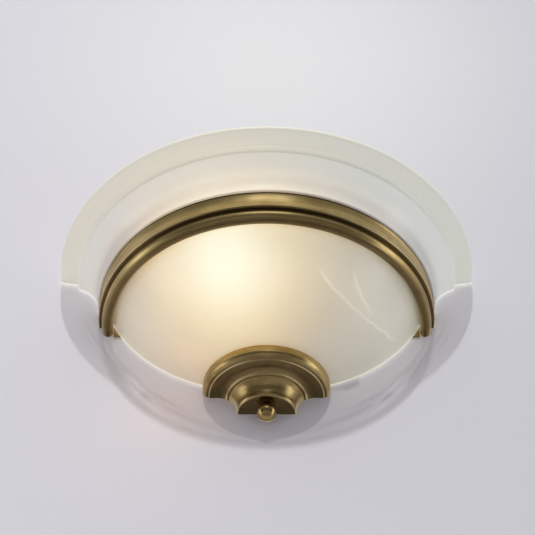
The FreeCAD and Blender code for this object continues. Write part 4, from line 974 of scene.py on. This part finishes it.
# FINIAL WASHER AND KNOB
# A thin brass washer, which keeps its CAD shape, and the turned knob that screws up the rod against it.
KNOB_TOP = -98.2
KNOB_RADIUS = 7.7
KNOB_FLAT = 4.0
KNOB_BORE, BORE_DEPTH = 3.05, 10
KNOB_BRIGHT = (0.55, 0.40, 0.165)
knob_centre = KNOB_TOP - math.sqrt(KNOB_RADIUS ** 2 - KNOB_FLAT ** 2)
knob_outline = [
    (0, KNOB_TOP - BORE_DEPTH), (KNOB_BORE, KNOB_TOP - BORE_DEPTH), (KNOB_BORE, KNOB_TOP),
    (KNOB_FLAT, KNOB_TOP), ((KNOB_RADIUS, knob_centre), (0, knob_centre - KNOB_RADIUS)),
]
knob_brass = brushed_metal(
    "knob_brass", KNOB_BRIGHT, BRASS_DARK, 0.22, streaks=900.0, strength=0.05, centre=ROD_AXIS
)
dress("finial_washer", knob_brass)
knob = solid("brass_knob", knob_outline, knob_brass, steps=97, edge=0.0002, Place=ROD_AXIS)
dress_up(knob, "knob", "finial_ball")


# HOLDER BRACKET
# A bent steel bracket for the lampholder, on two rivets. The bracket keeps its CAD shape.
dress("holder_bracket", zinc)
riveted("rivets_of_bracket", "holder_rivets", [(63.5, 0, 0), (63.5, 0, 14)])


# LAMPHOLDER BODY
# A glazed ceramic cup, narrower at its rear, open towards the bulb.
TO_LEFT = (0.0, math.radians(-90), 0.0)
HOLDER_AXIS = {"Lean": TO_LEFT, "Place": (0.072, -0.058, 0.007)}
HOLDER_OUTLINE = [
    (5.05, 0), (15.0, 0), ((18.89, 3.51), (20.5, 12.0)), (20.5, 46), (15.4, 46), (15.4, 8), (5.05, 8),
]
ceramic = grained(
    "glazed_ceramic", (0.80, 0.79, 0.75), (0.74, 0.73, 0.69), 0.16, 0.03,
    Coat_Weight=0.5, Coat_Roughness=0.06,
)
holder = solid("ceramic_holder", HOLDER_OUTLINE, ceramic, steps=97, loop=True, edge=0.0007, **HOLDER_AXIS)
dress_up(holder, "fixture", "lampholder_body")


# LAMPHOLDER SHELL AND CONTACT
# A thin rolled-thread shell for a large Edison screw. The sprung contact at its foot keeps its CAD shape.
EDISON_DEPTH, EDISON_PITCH = 0.5, 3.629
EDISON_STEP = 0.25
EDISON_LOOK = {"steps": 73, "Crease": math.radians(40), **HOLDER_AXIS}
SHELL_THREAD, SHELL_MOUTH = (8.6, 36.85), 37
nickel = plated_metal("nickel_shell", (0.70, 0.68, 0.63), (0.52, 0.50, 0.46), 0.26, strength=0.05)
contact_metal = plated_metal("contact_brass", (0.72, 0.54, 0.24), (0.52, 0.37, 0.15), 0.3, strength=0.05)
inside, outside = (
    climb(radius, *SHELL_THREAD, EDISON_STEP) + [(radius, SHELL_MOUTH)] for radius in (13.8, 14.4)
)
shell_outline = [(13.8, 8), *inside, *reversed(outside), (15.35, 8.6), (15.35, 8)]
shell = threaded(
    "screw_shell", shell_outline, nickel, EDISON_DEPTH, EDISON_PITCH, 10, 37, loop=True, **EDISON_LOOK
)
dress_up(shell, "fixture", "lampholder_shell")
dress("lampholder_contact", contact_metal)


# LAMPHOLDER NIPPLE AND NUT
# A hollow threaded tube through the bracket takes the leads in, with a thin nut behind.
BACK_OF_BRACKET = (77.0, -58.0, 7.0)
nipple_outline = [
    (3.6, -7.5), (4.5, -7.5), *climb(4.72, -7.3, 6.8, THREAD_STEP), (4.5, 7.0), (3.6, 7.0),
]
nipple = threaded(
    "hollow_nipple", nipple_outline, zinc, THREAD_DEPTH, THREAD_PITCH, -7.8, 7.5, loop=True, **HOLDER_AXIS
)
dress_up(nipple, "fixture", "lampholder_nipple")
set_out("nut_of_nipple", "nipple_nut", hexagon_nut(14.0, 3.5, 5.05), [BACK_OF_BRACKET], TO_LEFT)


# BULB CAP, INSULATOR AND CONTACT
# The bulb's threaded cap. The black insulator and the solder contact at its end keep their CAD shapes.
bulb_cap_outline = [
    (0, 16.5), (10.8, 16.4), (12.4, 17.9), *climb(12.72, 18.6, 37.8, EDISON_STEP), (12.72, 38.4),
    (0, 38.4),
]
bulb_cap = threaded(
    "threaded_bulb_cap", bulb_cap_outline, nickel, EDISON_DEPTH, EDISON_PITCH, 17.6, 38.0, **EDISON_LOOK
)
dress_up(bulb_cap, "bulb", "bulb_cap")
dress("bulb_insulator", grained("black_insulator", (0.02, 0.02, 0.022), (0.012, 0.012, 0.013), 0.2))
dress("bulb_contact", contact_metal)


# BULB HOUSING AND BOARD
# A flared white plastic housing, with the light board in its mouth. The board keeps its CAD shape.
HOUSING_OUTLINE = [
    (11.5, 38.4), (14.6, 38.4), (14.6, 46.4), ((19.64, 60.44), (26.6, 73.4)), (25.4, 73.4),
    ((18.44, 60.44), (13.4, 46.4)), (11.5, 46.4),
]
white_plastic = grained("white_plastic", (0.80, 0.80, 0.78), (0.76, 0.76, 0.74), 0.38)
housing = solid(
    "plastic_housing", HOUSING_OUTLINE, white_plastic, steps=97, loop=True, edge=0.0004, **HOLDER_AXIS
)
dress_up(housing, "bulb", "bulb_housing")
dress("led_board", grained("aluminium_board", (0.86, 0.86, 0.84), (0.80, 0.80, 0.79), 0.4, Metallic=0.2))


# BULB DOME
# A frosted plastic dome that glows evenly and warm.
DOME_OUTLINE = [(0, 117.2), ((28.8, 88.4), (24.59, 73.4)), (25.98, 73.4), ((30.0, 88.4), (0, 118.4))]
frosted = grained(
    "frosted_plastic", (0.86, 0.84, 0.78), (0.84, 0.82, 0.76), 0.42, 0.03,
    Emission_Color=(1.0, 0.86, 0.62, 1), Emission_Strength=0.9,
)
dome = solid("glowing_dome", DOME_OUTLINE, frosted, steps=97, edge=0.0, arc_step=1.5, **HOLDER_AXIS)
dress_up(dome, "bulb", "bulb_dome")


# TERMINAL BLOCK
# A white three-pole block, which keeps its CAD shape, with slotted clamping screws and a fixing screw
# that comes from behind the plate.
CLAMP_RADIUS, CLAMP_LENGTH = 2.0, 3.0
BLOCK_SCREW_OUTLINE = [(0, 0), (2.6, 0), (2.6, 0.1), (1.45, 1.45), (1.45, 7.1), (1.1, 7.5), (0, 7.5)]
POLES = (-101.0, -91.0, -81.0)
BLOCK_LEVEL = 8.0
WELL_FLOOR = -10.5
dress("terminal_block", grained("block_plastic", (0.72, 0.72, 0.69), (0.67, 0.67, 0.64), 0.42))
screw = solid("clamp", plain_outline(CLAMP_RADIUS, 0, CLAMP_LENGTH), zinc)
cut_slot(screw, 3, 2.4, 4)
set_out("clamping_screws", "terminal_screws", screw, [(x, WELL_FLOOR, BLOCK_LEVEL) for x in POLES])
screw = solid("fixing", BLOCK_SCREW_OUTLINE, zinc)
cut_slot(screw, 1.6, -1, 0.8, crossed=True)
set_out("screw_of_block", "block_screw", screw, [(POLES[1], 0, BLOCK_LEVEL)])


# EARTH SCREW AND TAG
# A slotted brass-coloured screw clamps the earth lead's tag to the plate. The tag keeps its CAD shape.
EARTH_PLACE = (-62.0, 0.0, 20.0)
EARTH_OUTLINE = [
    (0, 0), (1.95, 0), (1.95, 2.3), (4.0, 2.3), (4.0, 3.9), ((3.6, 4.35), (3.0, 4.5)), (0, 4.5),
]
dress("earth_tag", contact_metal)
screw = solid("earth", EARTH_OUTLINE, contact_metal)
cut_slot(screw, 5, 3.9, 6)
set_out("screw_of_earth", "earth_screw", screw, [EARTH_PLACE], TO_FRONT, contact_metal)


# CABLE GROMMET
# A black rubber bush in the plate's cable hole.
GROMMET_OUTLINE = [(4.5, 0), (6.5, 0), (6.5, 1.5), (9.0, 1.5), (9.0, 2.6), (6.5, 3.7), (4.5, 3.7)]
GROMMET_PLACE = (-0.036, 0.0, 0.020)
rubber = grained("black_rubber", (0.030, 0.030, 0.032), (0.018, 0.018, 0.019), 0.55)
grommet = solid(
    "rubber_bush", GROMMET_OUTLINE, rubber, steps=65, loop=True, edge=0.0003, Lean=TO_FRONT,
    Place=GROMMET_PLACE,
)
dress_up(grommet, "fixture", "cable_grommet")


# LEADS
# Live, neutral and earth: round insulated wires that leave the block, bend once or twice and end in the
# nipple or at the earth tag.
LEAD_RADIUS = 1.0
LIVE_PATH = [(-101, -8, 12.5), (-101, -8, 28.3), (87, -8, 28.3), (87, -58, 8.3), (69, -58, 8.3)]
NEUTRAL_PATH = [(-91, -8, 12.5), (-91, -8, 25.7), (87, -8, 25.7), (87, -58, 5.7), (69, -58, 5.7)]
EARTH_PATH = [(-81, -8, 12.5), (-81, -8, 20), (-67, -3.3, 20)]
WIDE_BEND, TIGHT_BEND = 6.0, 3.0
STRIPE_SLANT = (310.0, 250.0, 280.0)
STRIPE_START = 0.62
STRIPE_YELLOW = (0.78, 0.66, 0.05)


def lead(name, node, corners, bend, material):
    """A round wire through corner points in millimetres, each corner rounded to about one bend radius."""
    corners = [metres(corner) for corner in corners]
    line = [corners[0]]
    for before, corner, after in zip(corners, corners[1:], corners[2:]):
        back = [(a - b) / math.dist(before, corner) for a, b in zip(before, corner)]
        on = [(a - b) / math.dist(after, corner) for a, b in zip(after, corner)]
        turn = math.pi - math.acos(sum(a * b for a, b in zip(back, on)))
        inset = 2 * bend * MM * math.tan(turn / 2)
        start, end = ([c + d * inset for c, d in zip(corner, way)] for way in (back, on))
        line += [start, corner, end]
    line.append(corners[-1])
    curve = bpy.data.curves.new(name, "CURVE")
    curve.dimensions = "3D"
    curve.bevel_depth = LEAD_RADIUS * MM
    curve.bevel_resolution = 6
    curve.resolution_u = 10
    curve.use_fill_caps = True
    spline = curve.splines.new("NURBS")
    spline.points.add(len(line) - 1)
    for point, place in zip(spline.points, line):
        point.co = (*place, 1)
    spline.order_u = 3
    spline.use_endpoint_u = True
    curve.materials.append(material)
    dress_up(new_object(name, curve), "fixture", node)


brown = grained("brown_insulation", (0.14, 0.060, 0.026), (0.11, 0.047, 0.020), 0.42)
blue = grained("blue_insulation", (0.020, 0.125, 0.42), (0.015, 0.10, 0.35), 0.42)
striped = grained("striped_insulation", (0.05, 0.32, 0.09), (0.04, 0.26, 0.075), 0.42, 0.0)
tree = striped.node_tree
base = tree.nodes["Principled BSDF"].inputs["Base Color"]
slanting = math_node(tree, "FRACT", vector_node(tree, "DOT_PRODUCT", own_place(tree), STRIPE_SLANT))
stripe = math_node(tree, "GREATER_THAN", slanting, STRIPE_START)
tree.links.new(mix_colours(tree, stripe, base.links[0].from_socket, STRIPE_YELLOW), base)
lead("live_wire", "live_lead", LIVE_PATH, WIDE_BEND, brown)
lead("neutral_wire", "neutral_lead", NEUTRAL_PATH, WIDE_BEND, blue)
lead("earth_wire", "earth_lead", EARTH_PATH, TIGHT_BEND, striped)
